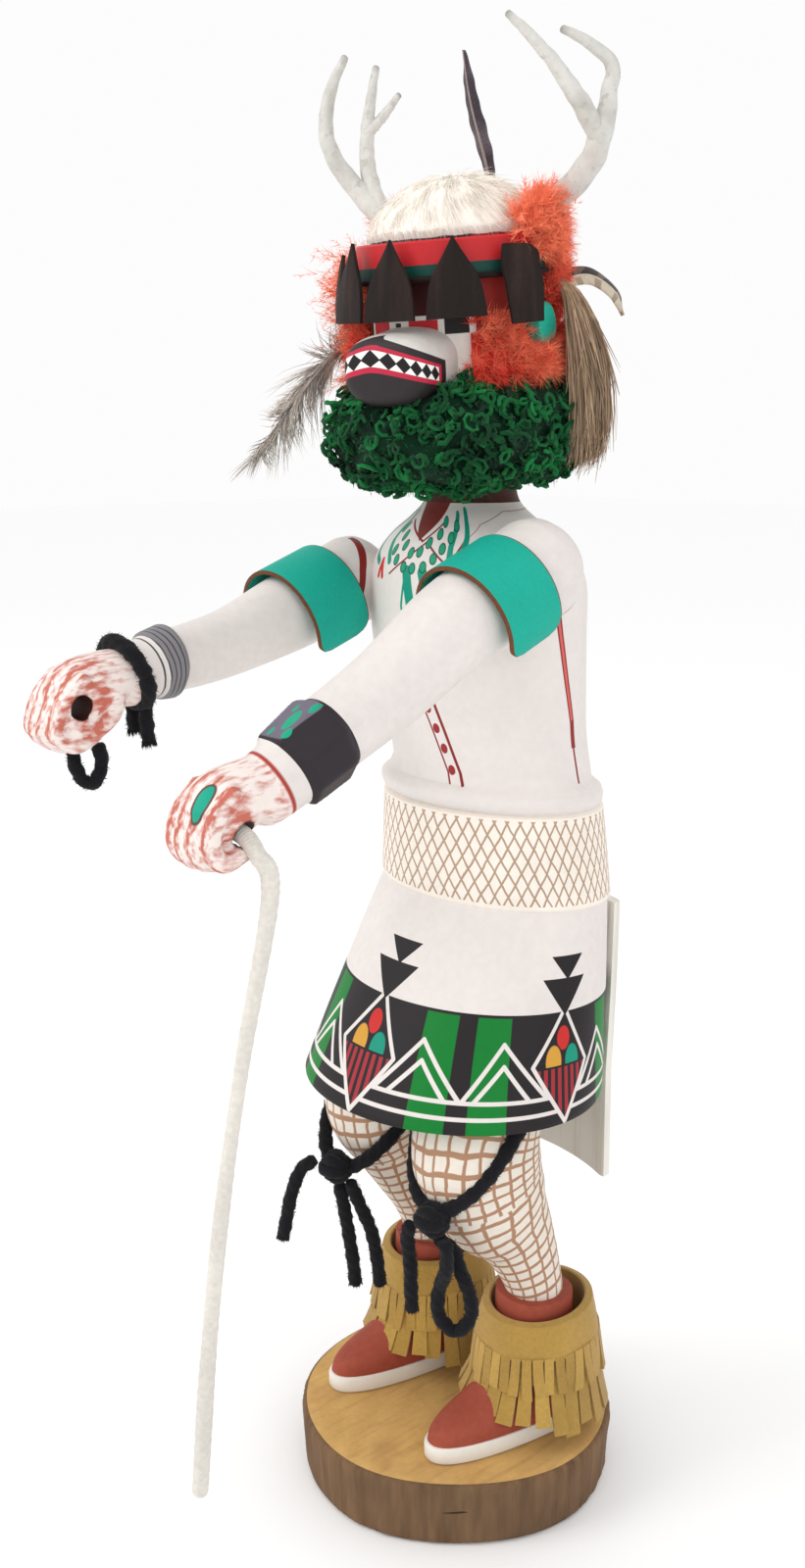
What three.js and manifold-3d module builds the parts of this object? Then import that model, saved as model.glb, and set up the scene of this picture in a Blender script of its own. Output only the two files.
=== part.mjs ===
// A carved and painted cottonwood dancer figure with a horned mask, on a slice of root.
// Millimetres, +Z up. The figure faces -Y and its left side is +X. The origin is the centre of the
// underside of the base.
import * as THREE from 'three';
import { mergeVertices } from 'three/addons/utils/BufferGeometryUtils.js';
import Module from 'manifold-3d';

const wasm = await Module();
wasm.setup();

// Clearance between touching pieces
const gap = 0.3;
// Slivers finer than this are taken out of a cut solid
const sliver = 0.13;

// Base, a slice of root
const baseRadius = 50;
const baseHeight = 21;
const baseFlare = 1.2;
const baseWobble = 0.8;

// Heights of the figure, from its soles up
const legHeight = 111.5;
const kiltHeight = 59.5;
const sashHeight = 27;
const rollHeight = 8.7;
const torsoHeight = 80;
const neckHeight = 19;

// Kilt, sash and chest
const hemHalfWidth = 48.8;
const hemHalfDepth = 42.8;
const hemY = -3.2;
const waistHalfWidth = 39.7;
const waistHalfDepth = 27.1;
const waistY = 14.6;
const sashProud = 0.9;
const chestHalfWidth = 36.5;
const chestHalfDepth = 25.6;
const chestY = 6;
const neckRadius = 12.8;
const neckY = 3;

// Legs and moccasins
const stanceHalf = 22;
const kneeRadius = 18.5;
const ankleRadius = 8.8;
const footLength = 62;
const footHalfWidth = 11;
const footTurn = THREE.MathUtils.degToRad(-8);
const soleThickness = 4;
const moccasinHeight = 45;

// Suede ankle cuffs
const cuffHeight = 37;
const cuffTopRadius = 15.4;
const cuffFlare = 5.4;
const suedeThickness = 1.4;

// Arms
const shoulderHalf = 37;
const shoulderDrop = 17;
const glueFaceHalf = 29;
const shoulderRadius = 14.3;
const upperArmRadius = 13;
const forearmRadius = 10.8;
const wristRadius = 9.2;
const fistHalfWidth = 8.6;
const fistHalfHeight = 9.8;
const fistHoleRadius = 3.3;
const guardThickness = 1.8;

// Armbands
const armbandWidth = 20;
const armbandThickness = 1.2;
const armbandSlack = 2.4;
const armbandOpening = THREE.MathUtils.degToRad(112);

// Cane
const caneRadius = 2;
const caneLength = 165;
const caneBow = 3.6;

// Helmet mask
const headRadius = 24.5;
const headHeight = 72;
const headTurn = THREE.MathUtils.degToRad(10);
const headNod = THREE.MathUtils.degToRad(7);
const snoutReach = 13.5;
const snoutHalfWidth = 13.8;
const snoutHalfHeight = 9.4;
const snoutLevel = 21;
const earHeight = 11;
const earReach = 4.5;

// Visor over the eyes, with its rod and leather points
const visorLevel = 42;
const visorHeight = 9.5;
const visorThickness = 2.4;
const visorSpan = THREE.MathUtils.degToRad(190);
const rodRadius = 0.8;
const pointHeight = 20.5;
const pointWidth = 12.5;
const pointThickness = 1;
const pointAngles = [-53, -27, 2, 34, 67];

// Fur cap, crest feather and antlers
const capThickness = 3.4;
const crestLength = 33;
const crestWidth = 4.6;
const antlerRadius = 3.1;

// Yarn ruff and feathers
const ruffRadius = 22.4;
const ruffThickness = 15;
const collarHeight = 15;
const collarReach = 8;
const tuftHeight = 30;
const tuftThickness = 5;

// Yarn ties at the knees and at the right wrist
const yarnRadius = 2.2;
const knotRadius = 4.4;

// Back panel
const panelHalfWidth = 32;
const panelThickness = 3.4;
const panelDrop = 36;

// Levels worked out from the heights
const standZ = baseHeight + gap;
const hemZ = standZ + legHeight;
const waistZ = hemZ + kiltHeight;
const sashTopZ = waistZ + sashHeight;
const torsoZ = sashTopZ + rollHeight;
const neckZ = torsoZ + torsoHeight;
const headZ = neckZ + neckHeight;
const shoulderZ = neckZ - shoulderDrop;

const { cos, sin, sqrt, abs, sign, PI, min, max } = Math;
const up = new THREE.Vector3(0, 0, 1);
const acrossX = new THREE.Vector3(1, 0, 0);
const acrossY = new THREE.Vector3(0, 1, 0);

// Geometry from points and faces, turned so that its faces point out.
function closedSkin(points, faces) {
  const fan = new THREE.Vector3();
  let volume = 0;
  for (let i = 0; i < faces.length; i += 3) {
    fan.crossVectors(points[faces[i + 1]], points[faces[i + 2]]);
    volume += points[faces[i]].dot(fan);
  }
  const geometry = new THREE.BufferGeometry().setFromPoints(points);
  geometry.setIndex(volume < 0 ? faces.reverse() : faces);
  return geometry;
}

// A skin over a stack of rings with equal counts, closed by a fan at each end.
function loft(rings) {
  const sides = rings[0].length;
  const points = rings.flat();
  const faces = [];
  for (let r = 0; r + 1 < rings.length; r++) {
    for (let s = 0; s < sides; s++) {
      const a = r * sides + s;
      const b = r * sides + ((s + 1) % sides);
      faces.push(a, b, b + sides, a, b + sides, a + sides);
    }
  }
  for (const [ring, first, flip] of [
    [rings[0], 0, true],
    [rings.at(-1), (rings.length - 1) * sides, false],
  ]) {
    const centre = new THREE.Vector3();
    ring.forEach((p) => centre.addScaledVector(p, 1 / sides));
    points.push(centre);
    for (let s = 0; s < sides; s++) {
      const a = first + s;
      const b = first + ((s + 1) % sides);
      faces.push(points.length - 1, flip ? b : a, flip ? a : b);
    }
  }
  return closedSkin(points, faces);
}

// A level ring: power 2 is an ellipse, and more is squarer.
function levelRing(x, y, z, halfX, halfY, sides, power = 2) {
  return Array.from({ length: sides }, (_, s) => {
    const a = (2 * PI * s) / sides;
    const c = sign(cos(a)) * abs(cos(a)) ** (2 / power);
    const d = sign(sin(a)) * abs(sin(a)) ** (2 / power);
    return new THREE.Vector3(x + halfX * c, y + halfY * d, z);
  });
}

// A round-ended limb through knots [x, y, z, halfWidth, halfHeight]. Its width lies along side.
function limb(knots, steps, sides, grow = 0, side = acrossX, endRound = 0.8) {
  const places = knots.map((k) => new THREE.Vector3(k[0], k[1], k[2]));
  const sizes = knots.map((k) => new THREE.Vector3(k[3], k[4] ?? k[3], 0));
  const path = new THREE.CatmullRomCurve3(places, false, 'catmullrom');
  const size = new THREE.CatmullRomCurve3(sizes, false, 'catmullrom');
  const rings = [];
  const addRing = (t, share, shift) => {
    const along = path.getTangent(t);
    const high = new THREE.Vector3().crossVectors(along, side).normalize();
    const wide = new THREE.Vector3().crossVectors(high, along).normalize();
    const { x: halfWidth, y: halfHeight } = size.getPoint(t);
    const centre = path.getPoint(t).addScaledVector(along, shift * (min(halfWidth, halfHeight) * endRound + grow));
    rings.push(Array.from({ length: sides }, (_, s) => {
      const a = (2 * PI * (s + 0.5)) / sides;
      return centre.clone()
        .addScaledVector(wide, (halfWidth + grow) * share * cos(a))
        .addScaledVector(high, (halfHeight + grow) * share * sin(a));
    }));
  };
  const domes = sides > 10 ? [1.25, 0.65] : [0.9];
  for (const a of domes) addRing(0, cos(a), -sin(a));
  for (let i = 0; i <= steps; i++) addRing(i / steps, 1, 0);
  for (const a of domes.reverse()) addRing(1, cos(a), sin(a));
  return loft(rings);
}

// A lathe about Z from [radius, z] pairs that start and end on the axis or close on themselves.
function lathe(profile, sides, isRing = false) {
  const points = profile.map(([r, z]) => new THREE.Vector2(r, z));
  if (isRing) points.push(points[0].clone());
  return new THREE.LatheGeometry(points, sides).rotateX(PI / 2);
}

// A tube of constant thickness along chosen points.
function yarn(points, steps, sides = 8, radius = yarnRadius) {
  const section = new THREE.Shape(Array.from({ length: sides }, (_, s) => (
    new THREE.Vector2(radius * cos((2 * PI * s) / sides), radius * sin((2 * PI * s) / sides))
  )));
  const path = new THREE.CatmullRomCurve3(points.map((p) => new THREE.Vector3(...p)));
  return new THREE.ExtrudeGeometry(section, { steps, extrudePath: path, bevelEnabled: false });
}

// A part of a ring about Z, from one angle to another. Angle 0 is in front and +90 degrees is at +X.
function arcBand(inner, outer, from, to, z, height, steps) {
  const at = (r, a) => new THREE.Vector2(r * sin(a), -r * cos(a));
  const angles = Array.from({ length: steps + 1 }, (_, i) => from + ((to - from) * i) / steps);
  const outline = [...angles.map((a) => at(outer, a)), ...angles.reverse().map((a) => at(inner, a))];
  const shape = new THREE.Shape(outline);
  return new THREE.ExtrudeGeometry(shape, { depth: height, bevelEnabled: false }).translate(0, 0, z);
}

function solidOf(geometry) {
  const bare = geometry.clone();
  bare.deleteAttribute('normal');
  bare.deleteAttribute('uv');
  const merged = mergeVertices(bare, 1e-4);
  return new wasm.Manifold(new wasm.Mesh({
    numProp: 3,
    vertProperties: new Float32Array(merged.attributes.position.array),
    triVerts: new Uint32Array(merged.index.array),
  }));
}

function geometryOf(solid) {
  const mesh = solid.getMesh();
  const geometry = new THREE.BufferGeometry();
  geometry.setAttribute('position', new THREE.BufferAttribute(new Float32Array(mesh.vertProperties), 3));
  geometry.setIndex(Array.from(mesh.triVerts));
  return geometry;
}

const joined = (...geometries) => geometries.map(solidOf).reduce((a, b) => a.add(b));
const cutBy = (solid, ...others) => others.reduce((a, b) => a.subtract(b), solid);

// The largest closed body of a cut solid, once its finest slivers are gone.
function wholeOf(solid) {
  return solid.simplify(sliver).decompose().sort((a, b) => b.volume() - a.volume())[0];
}

function block(x0, x1, y0, y1, z0, z1) {
  return new THREE.BoxGeometry(x1 - x0, y1 - y0, z1 - z0)
    .translate((x0 + x1) / 2, (y0 + y1) / 2, (z0 + z1) / 2);
}

// Base
function baseShape() {
  const levels = [0, 0.06, 0.5, 0.94, 1];
  const inset = [1.2, 0, 0, 0, 1];
  return loft(levels.map((level, i) => {
    const ring = levelRing(0, 0, level * baseHeight, 1, 1, 32);
    ring.forEach((p, s) => {
      const a = (2 * PI * s) / 32;
      const wobble = baseWobble * (sin(3 * a + 0.6) + 0.5 * sin(5 * a + 2));
      const radius = baseRadius - baseFlare * (1 - level) - inset[i] + wobble;
      p.set(p.x * radius, p.y * radius, p.z);
    });
    return ring;
  }));
}

// Legs and feet. Each leg's knots are [out, y, share of leg height, half width, half depth].
const legKnots = {
  left: [[-2, -5, 1.08, kneeRadius * 0.92, kneeRadius * 0.97], [-0.5, -13.5, 0.92, kneeRadius, kneeRadius * 1.05],
    [0, -12.8, 0.81, kneeRadius, kneeRadius * 1.05], [1, -7.2, 0.7, kneeRadius * 0.87, kneeRadius * 0.94],
    [2.4, 0, 0.6, ankleRadius * 1.36, ankleRadius * 1.46], [3.2, 6.2, 0.48, ankleRadius * 1.09, ankleRadius * 1.13],
    [4, 8.5, 0.38, ankleRadius], [4, 8.5, 0.2, ankleRadius]],
  right: [[-2, -6, 1.08, kneeRadius * 0.92, kneeRadius * 0.97], [-0.5, -12, 0.97, kneeRadius * 0.97, kneeRadius],
    [0, -12.5, 0.87, kneeRadius * 0.91, kneeRadius * 0.95], [0, -7, 0.77, kneeRadius * 0.79, kneeRadius * 0.83],
    [0, -0.6, 0.66, ankleRadius * 1.36, ankleRadius * 1.48], [0, 6.2, 0.53, ankleRadius * 1.11, ankleRadius * 1.18],
    [0, 9.8, 0.4, ankleRadius], [0, 10, 0.2, ankleRadius]],
};
const sideSign = { left: 1, right: -1 };
const footAhead = { left: 10, right: 9 };

const ankleOf = (side) => {
  const [out, y] = legKnots[side].at(-1);
  return new THREE.Vector3(sideSign[side] * (stanceHalf + out), y, standZ);
};

function legShape(side, grow) {
  const knots = legKnots[side].map(([out, y, share, ...sizes]) => (
    [sideSign[side] * (stanceHalf + out), y, standZ + share * legHeight, ...sizes]
  ));
  return limb(knots, 8, 10, grow);
}

// Moccasin sections: [share of height, share of front reach, share of back reach, share of width].
const footSections = [[0, 1, 1, 1], [0.001, 0.97, 0.95, 0.94], [0.18, 0.95, 0.93, 0.94], [0.32, 0.8, 0.88, 0.93],
  [0.5, 0.5, 0.75, 0.9], [0.68, 0.33, 0.6, 0.92], [0.86, 0.29, 0.54, 1.05], [1, 0.28, 0.53, 1.05]];

function footRing(side, z, frontShare, backShare, widthShare, grow) {
  const centre = ankleOf(side);
  const front = (footLength / 2 + footAhead[side]) * frontShare + grow;
  const back = (footLength / 2 - footAhead[side]) * backShare + grow;
  const turned = new THREE.Matrix4().makeRotationZ(footTurn).setPosition(centre.x, centre.y, z);
  return levelRing(0, 0, 0, footHalfWidth * widthShare + grow, 1, 12, 2.3).map((p) => (
    p.setY(p.y < 0 ? p.y * front : p.y * back).applyMatrix4(turned)
  ));
}

function footShape(side, grow) {
  const upperHeight = moccasinHeight - soleThickness;
  const rings = [footRing(side, standZ - grow, 0.985, 0.98, 0.97, grow), footRing(side, standZ + 0.8, 1, 1, 1, grow)];
  for (const [share, front, back, width] of footSections) {
    const z = standZ + soleThickness + share * upperHeight + (share === 1 ? grow : 0);
    rings.push(footRing(side, z, front, back, width, grow));
  }
  return loft(rings);
}

// Kilt, sash, roll, chest and neck: rings of [z, half width, half depth, y].
const mix = (a, b, t) => a + (b - a) * t;

function kiltSize(t) {
  const flare = 0.86 * t + 0.14 * t * t;
  return [mix(hemHalfWidth, waistHalfWidth, flare), mix(hemHalfDepth, waistHalfDepth, flare), mix(hemY, waistY, t)];
}

function kiltShape(grow) {
  const shares = [0, 0.02, 0.35, 0.7, 1];
  return loft(shares.map((t, i) => {
    const [halfX, halfY, y] = kiltSize(t);
    const z = hemZ + t * kiltHeight + (i === 0 ? -grow : 0);
    const inset = i === 0 ? 0.8 : 0;
    return levelRing(0, y, z, halfX - inset + grow, halfY - inset + grow, 28);
  }));
}

function torsoShape(grow) {
  const sashTopHalfWidth = waistHalfWidth - 2.1;
  const sashTopY = waistY - 1.4;
  const band = [[waistZ - 2, -1.2, waistY], [waistZ, sashProud, waistY], [sashTopZ, sashProud - 0.6, sashTopY],
    [sashTopZ + 0.6, -0.6, sashTopY], [sashTopZ + rollHeight * 0.45, 0.4, sashTopY - 0.8],
    [sashTopZ + rollHeight * 0.9, -1.6, sashTopY - 1.4]];
  const rings = band.map(([z, proud, y], i) => (
    [z, (i < 2 ? waistHalfWidth : sashTopHalfWidth) + proud, waistHalfDepth + proud - (i > 2 ? 0.6 : 0), y]
  ));
  const chest = [[0.03, 0.93, 0.95, 0.75], [0.16, 0.93, 0.95, 0.5], [0.34, 0.97, 0.98, 0.2], [0.54, 1, 1, 0],
    [0.7, 1, 1, -0.05], [0.8, 0.91, 0.93, -0.1], [0.88, 0.74, 0.78, -0.15], [0.94, 0.53, 0.62, -0.25]];
  for (const [share, wide, deep, lean] of chest) {
    const y = chestY + lean * (waistY - chestY);
    rings.push([torsoZ + share * torsoHeight, chestHalfWidth * wide, chestHalfDepth * deep, y]);
  }
  rings.push([neckZ, neckRadius + 0.8, neckRadius + 0.8, neckY + 0.6]);
  rings.push([neckZ + neckHeight * 0.4, neckRadius, neckRadius, neckY]);
  rings.push([headZ + 2, neckRadius, neckRadius, neckY - 2]);
  return loft(rings.map(([z, halfX, halfY, y]) => levelRing(0, y, z, halfX + grow, halfY + grow, 20)));
}

// Head frame: its own Z runs up the mask and -Y out of the face.
const headFrame = new THREE.Matrix4()
  .makeRotationZ(headTurn)
  .multiply(new THREE.Matrix4().makeRotationX(headNod))
  .setPosition(1.5, neckY - 3.4, headZ);
const onHead = (geometry) => geometry.applyMatrix4(headFrame);
const headPoint = (x, y, z) => new THREE.Vector3(x, y, z).applyMatrix4(headFrame);
const headKnot = (x, y, z, ...sizes) => [...headPoint(x, y, z).toArray(), ...sizes];
const domeStart = headHeight - headRadius * 0.86 - 6;

function domeProfile(radius, rise, from, to, steps) {
  return Array.from({ length: steps + 1 }, (_, i) => {
    const a = mix(from, to, i / steps);
    return [i === steps && to === PI / 2 ? 0 : radius * cos(a), domeStart + rise * sin(a)];
  });
}

function headShape(grow) {
  const radius = headRadius + grow;
  const rise = headRadius * 0.86 + grow;
  const profile = [[0, -6 - grow], [radius * 0.72, -6 - grow], [radius * 0.93, -1], [radius, 6],
    ...domeProfile(radius, rise, 0, PI / 2, 5)];
  return onHead(lathe(profile, 20));
}

const bodyParts = (grow) => joined(
  torsoShape(grow), kiltShape(grow), headShape(grow),
  legShape('left', grow), legShape('right', grow), footShape('left', grow), footShape('right', grow),
);
const bodyClear = bodyParts(gap);

// Arms: knots as [out, y, z, radius] from the shoulder, whose place is [shoulderHalf, shoulderY, shoulderZ].
const shoulderY = { left: chestY - 15.5, right: chestY - 15 };
const armKnots = {
  left: [[0, 0, -0.5, shoulderRadius], [0.5, -16.5, -6.5, upperArmRadius], [0.5, -33, -14, upperArmRadius * 0.94],
    [-0.5, -53.5, -27, forearmRadius], [-1.5, -76, -38.6, forearmRadius * 0.92], [-2, -85, -44, wristRadius],
    [-3, -92, -47.8, wristRadius * 0.96]],
  right: [[1, 0, -8, shoulderRadius * 0.94], [1.5, -13, -12, upperArmRadius * 0.95],
    [1.5, -27, -16.8, upperArmRadius * 0.88], [0, -47, -22.5, forearmRadius * 0.9],
    [-1.5, -62, -25, forearmRadius * 0.84], [-3, -74, -26, wristRadius * 0.93], [-4, -86, -28.5, wristRadius * 0.9]],
};
const armPoint = (side, out, y, z) => new THREE.Vector3(
  sideSign[side] * (shoulderHalf + out),
  shoulderY[side] + y,
  shoulderZ + z,
);
const armKnot = (side, [out, y, z, ...sizes]) => [...armPoint(side, out, y, z).toArray(), ...sizes];

// The hand runs on from the wrist along the arm: its frame is at the fist's hole, -Y to the knuckles.
const handDrop = THREE.MathUtils.degToRad(14);
const handTilt = THREE.MathUtils.degToRad(26);
const fistReach = { left: fistHalfWidth * 1.3, right: fistHalfWidth * 1.75 };
// The hole's place in the hand frame: [y, z]
const holePlace = { left: [-1.1, -4.9], right: [-4, 0.2] };
const wristEnd = (side) => new THREE.Vector3(...armKnot(side, armKnots[side].at(-1)));
const handFrame = (side) => new THREE.Matrix4()
  .makeRotationX(handTilt)
  .setPosition(wristEnd(side).add(new THREE.Vector3(
    0, -fistReach[side] * cos(handDrop), -fistReach[side] * sin(handDrop),
  )));

function handShapes(side, grow) {
  const frame = handFrame(side);
  const palmKnots = [[0, 13, -2.2, wristRadius * 0.86], [0, 7.5, 0, fistHalfWidth * 0.98, fistHalfHeight * 0.82],
    [0, 0, 1, fistHalfWidth, fistHalfHeight * 0.9], [0, -6, 0, fistHalfWidth * 0.93, fistHalfHeight * 0.72]];
  const palm = limb(palmKnots, 3, 10, grow, acrossX, 0.5).applyMatrix4(frame);
  const fingerRadius = fistHalfWidth / 4 + 0.45;
  const fingers = [-1.5, -0.5, 0.5, 1.5].map((place, i) => {
    const x = (place * fistHalfWidth) / 2;
    const reach = [1, 1.07, 1.05, 0.94][side === 'left' ? i : 3 - i];
    const knots = [[x, 1, fistHalfHeight * 0.58, fingerRadius], [x, -6 * reach, fistHalfHeight * 0.34, fingerRadius],
      [x, -10.8 * reach, -1.8, fingerRadius], [x, -9.8 * reach, -fistHalfHeight * 0.76, fingerRadius * 0.96],
      [x, -3, -fistHalfHeight * 0.88, fingerRadius * 0.9]];
    return limb(knots, 5, 5, grow, acrossX, 0.7).applyMatrix4(frame);
  });
  const inner = -sideSign[side];
  const thumbKnots = [[inner * 5, 10, -2, 2.6], [inner * 8, 3, -6, 2.8], [inner * 6.5, -5, -8.5, 2.4]];
  const thumb = limb(thumbKnots, 3, 6, grow, acrossY, 0.7).applyMatrix4(frame);
  return [palm, ...fingers, thumb];
}

function fistHole(side, radius) {
  const reach = fistHalfWidth * 2.4;
  const [y, z] = holePlace[side];
  return new THREE.CylinderGeometry(radius, radius, reach * 2, 8)
    .rotateZ(PI / 2).translate(0, y, z).applyMatrix4(handFrame(side));
}

// The bow guard on the left wrist and the bracelet on the right are carved with the arm.
function wristBand(side, grow) {
  const [start, end] = side === 'left' ? [3.6, 4.72] : [4.72, 5.3];
  const sides = side === 'left' ? 8 : 10;
  const proud = side === 'left' ? guardThickness : 1.1;
  const knots = armKnots[side].map((knot) => armKnot(side, knot));
  const path = new THREE.CatmullRomCurve3(knots.map((k) => new THREE.Vector3(k[0], k[1], k[2])), false, 'catmullrom');
  const rings = [0, 0.06, 0.94, 1].map((share, i) => {
    const t = mix(start, end, share) / (knots.length - 1);
    const along = path.getTangent(t);
    const high = new THREE.Vector3().crossVectors(along, acrossX).normalize();
    const radius = (mix(forearmRadius * 0.95, wristRadius, share) + proud) * (side === 'left' ? 1 : 0.93)
      - (i % 3 === 0 ? 0.9 : 0) + grow;
    return Array.from({ length: sides }, (_, s) => {
      const a = (2 * PI * (s + 0.5)) / sides;
      return path.getPoint(t).addScaledVector(acrossX, radius * cos(a)).addScaledVector(high, -radius * sin(a));
    });
  });
  return loft(rings);
}

function armShape(side, grow) {
  const knots = armKnots[side].map((knot) => armKnot(side, knot));
  const arm = joined(limb(knots, 7, 10, grow), ...handShapes(side, grow), wristBand(side, grow));
  const inner = glueFaceHalf - grow;
  const far = shoulderHalf * 3;
  const beyond = side === 'left' ? block(-far, inner, -far * 3, far * 3, 0, far * 5)
    : block(-inner, far, -far * 3, far * 3, 0, far * 5);
  const upper = block(-far * 2, far * 2, shoulderY[side] - upperArmRadius * 2, far, 0, far * 5);
  return arm.subtract(solidOf(beyond).intersect(solidOf(upper))).subtract(solidOf(fistHole(side, fistHoleRadius)));
}

// Snout, a carved block glued on the face
function snoutShape(grow) {
  const out = [[0.7, 0.94, 1.05], [0.95, 0.97, 1.04], [1.2, 1, 1], [1.38, 1, 0.98], [1.5, 0.9, 0.88], [1.55, 0.62, 0.6]];
  const reach = (share) => -(headRadius + ((share - 1) / 0.55) * snoutReach);
  return onHead(loft(out.map(([share, wide, high], i) => {
    const y = (share < 1 ? -headRadius * share : reach(share)) - (i === out.length - 1 ? grow : 0);
    return Array.from({ length: 16 }, (_, s) => {
      const a = (2 * PI * s) / 16;
      const c = sign(cos(a)) * abs(cos(a)) ** 0.8;
      const d = sign(sin(a)) * abs(sin(a)) ** 0.8;
      return new THREE.Vector3(
        (snoutHalfWidth * wide + grow) * c,
        y,
        snoutLevel - (share - 0.7) * 2 + (snoutHalfHeight * high + grow) * d,
      );
    });
  })));
}

function earShape(side) {
  const shape = new THREE.Shape();
  shape.absellipse(0, 0, earHeight * 0.36, earHeight / 2, 0, 2 * PI);
  const plate = new THREE.ExtrudeGeometry(shape, {
    depth: earReach, bevelEnabled: true, bevelThickness: 0.6, bevelSize: 0.6, bevelSegments: 1, curveSegments: 5,
  });
  plate.rotateX(PI / 2).rotateZ((sideSign[side] * PI) / 2);
  return plate.translate(sideSign[side] * (headRadius - 0.6), 0, visorLevel - earHeight * 1.3);
}

// Visor band, the rod tied along it and the leather points tied over both
const visorInner = headRadius + gap;
const visorOuter = visorInner + visorThickness;
const rodCentre = visorOuter + gap + rodRadius;
const pointInner = rodCentre + rodRadius + gap;

const visorShape = (grow) => onHead(arcBand(
  visorInner - grow, visorOuter + grow, -visorSpan / 2, visorSpan / 2, visorLevel - grow, visorHeight + 2 * grow, 20,
));

function rodShape() {
  const span = visorSpan * 0.52;
  const path = Array.from({ length: 25 }, (_, i) => {
    const a = mix(-span, span, i / 24);
    return headPoint(rodCentre * sin(a), -rodCentre * cos(a), visorLevel - 0.2).toArray();
  });
  return yarn(path, 16, 5, rodRadius);
}

function pointShape(degrees, place) {
  const isBlunt = place === 4;
  const half = (pointWidth / 2) * (place === 1 ? 1.2 : 1);
  const height = pointHeight * (place === 0 ? 0.88 : 1);
  const outline = isBlunt
    ? [[-half * 0.7, 0], [half * 0.7, 0], [half * 0.9, 0.45], [half * 0.85, 0.86], [half * 0.1, 0.97],
      [-half * 0.2, 0.93], [-half * 0.7, 0.98], [-half * 0.85, 0.75], [-half * 0.75, 0.4]]
    : [[-half, 0], [half, 0], [half * 0.82, 0.38], [half * 0.42, 0.7], [0, 1], [-half * 0.42, 0.7], [-half * 0.82, 0.38]];
  const shape = new THREE.Shape(outline.map(([x, share]) => new THREE.Vector2(x, share * height)));
  const plate = new THREE.ExtrudeGeometry(shape, { depth: pointThickness, bevelEnabled: false });
  const top = visorLevel + visorHeight + (place % 4 === 0 ? -2 : 0.6);
  plate.rotateX(PI / 2).translate(0, 0, -height).rotateX(-0.16);
  plate.translate(0, -pointInner - 0.7, top).rotateZ(THREE.MathUtils.degToRad(degrees));
  return onHead(plate);
}

// Fur cap over the crown
function capShape(grow) {
  const outer = headRadius + capThickness + grow;
  const rise = headRadius * 0.86 + capThickness + grow;
  const low = visorLevel + visorHeight + gap - grow;
  const brim = Math.asin((visorLevel + visorHeight + 3 - domeStart) / rise);
  const profile = [[0, low], [outer * cos(brim) * 0.97, low], ...domeProfile(outer, rise, brim, PI / 2, 4)];
  return onHead(lathe(profile, 20));
}

// Antlers: beams through head-frame knots, each share is of the antler's thickness.
const antlerBeams = {
  left: [
    [[21.5, 7.5, 52, 1.1], [26.5, 10.5, 59, 1.05], [35, 13, 67, 1], [40.5, 11.5, 75, 0.9], [40.5, 15.5, 84, 0.66],
      [41, 16.5, 91, 0.55], [36.5, 10.5, 97, 0.42], [33.5, 5.5, 99.5, 0.3]],
    [[40.2, 11.5, 73, 0.85], [36.5, 6.5, 83, 0.72], [32, 2.5, 92, 0.55], [28, -2.5, 99, 0.42], [25, -6.5, 103.5, 0.28]],
  ],
  right: [
    [[-20, 1.8, 50, 1.1], [-24.5, 0.8, 58, 1], [-31.5, -0.2, 66, 0.85], [-38.5, -2.2, 76, 0.72], [-41, -1.2, 85, 0.62],
      [-40.5, 1.8, 94, 0.5], [-38, 5.8, 102, 0.32]],
    [[-25.5, 0.8, 60, 0.9], [-30, 2.8, 70, 0.7], [-31.5, 4.8, 80, 0.6], [-31, 6.8, 89, 0.45], [-29.5, 8.8, 98.5, 0.3]],
    [[-31.3, 4.8, 81.5, 0.5], [-28, 8.8, 86, 0.4], [-24.5, 11.8, 91, 0.26]],
  ],
};

function antlerShape(side, grow) {
  return joined(...antlerBeams[side].map((beam) => limb(
    beam.map(([x, y, z, share]) => headKnot(x, y, z, antlerRadius * share)), beam.length + 1, 7, grow, acrossX, 0.6,
  )));
}

// Crest feather: a flat leaf on a quill that is set in the crown
const crestFoot = [2.5, 16, domeStart + headRadius * 0.86 - 5];
const crestTip = [crestFoot[0] - 1.5, crestFoot[1] - 8.5, crestFoot[2] + crestLength + 5];
function crestShape(grow) {
  const shares = [[0, 0.28], [0.14, 0.32], [0.3, 0.75], [0.55, 1], [0.8, 0.7], [0.97, 0.2]];
  const knots = shares.map(([t, wide]) => headKnot(
    mix(crestFoot[0], crestTip[0], t), mix(crestFoot[1], crestTip[1], t), mix(crestFoot[2], crestTip[2], t),
    (crestWidth / 2) * wide, min((crestWidth / 2) * wide, 0.75),
  ));
  return limb(knots, 8, 6, grow, acrossX, 0.7);
}

// Yarn ruff: a lumpy ring round the neck
function ruffShape(grow) {
  const ring = new THREE.TorusGeometry(ruffRadius, ruffThickness + grow, 8, 18);
  const place = ring.attributes.position;
  const p = new THREE.Vector3();
  for (let i = 0; i < place.count; i++) {
    p.fromBufferAttribute(place, i);
    const a = Math.atan2(p.y, p.x);
    const lump = 1 + 0.035 * sin(7 * a + p.z * 0.35) + 0.03 * sin(11 * a - p.z * 0.5);
    place.setXYZ(i, p.x * lump, p.y * lump, p.z * 1.06 * (1 + 0.05 * sin(5 * a)));
  }
  return onHead(ring.translate(-1.4, -1, ruffThickness * 0.1));
}
const ruffTop = ruffThickness * 1.18;

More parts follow.
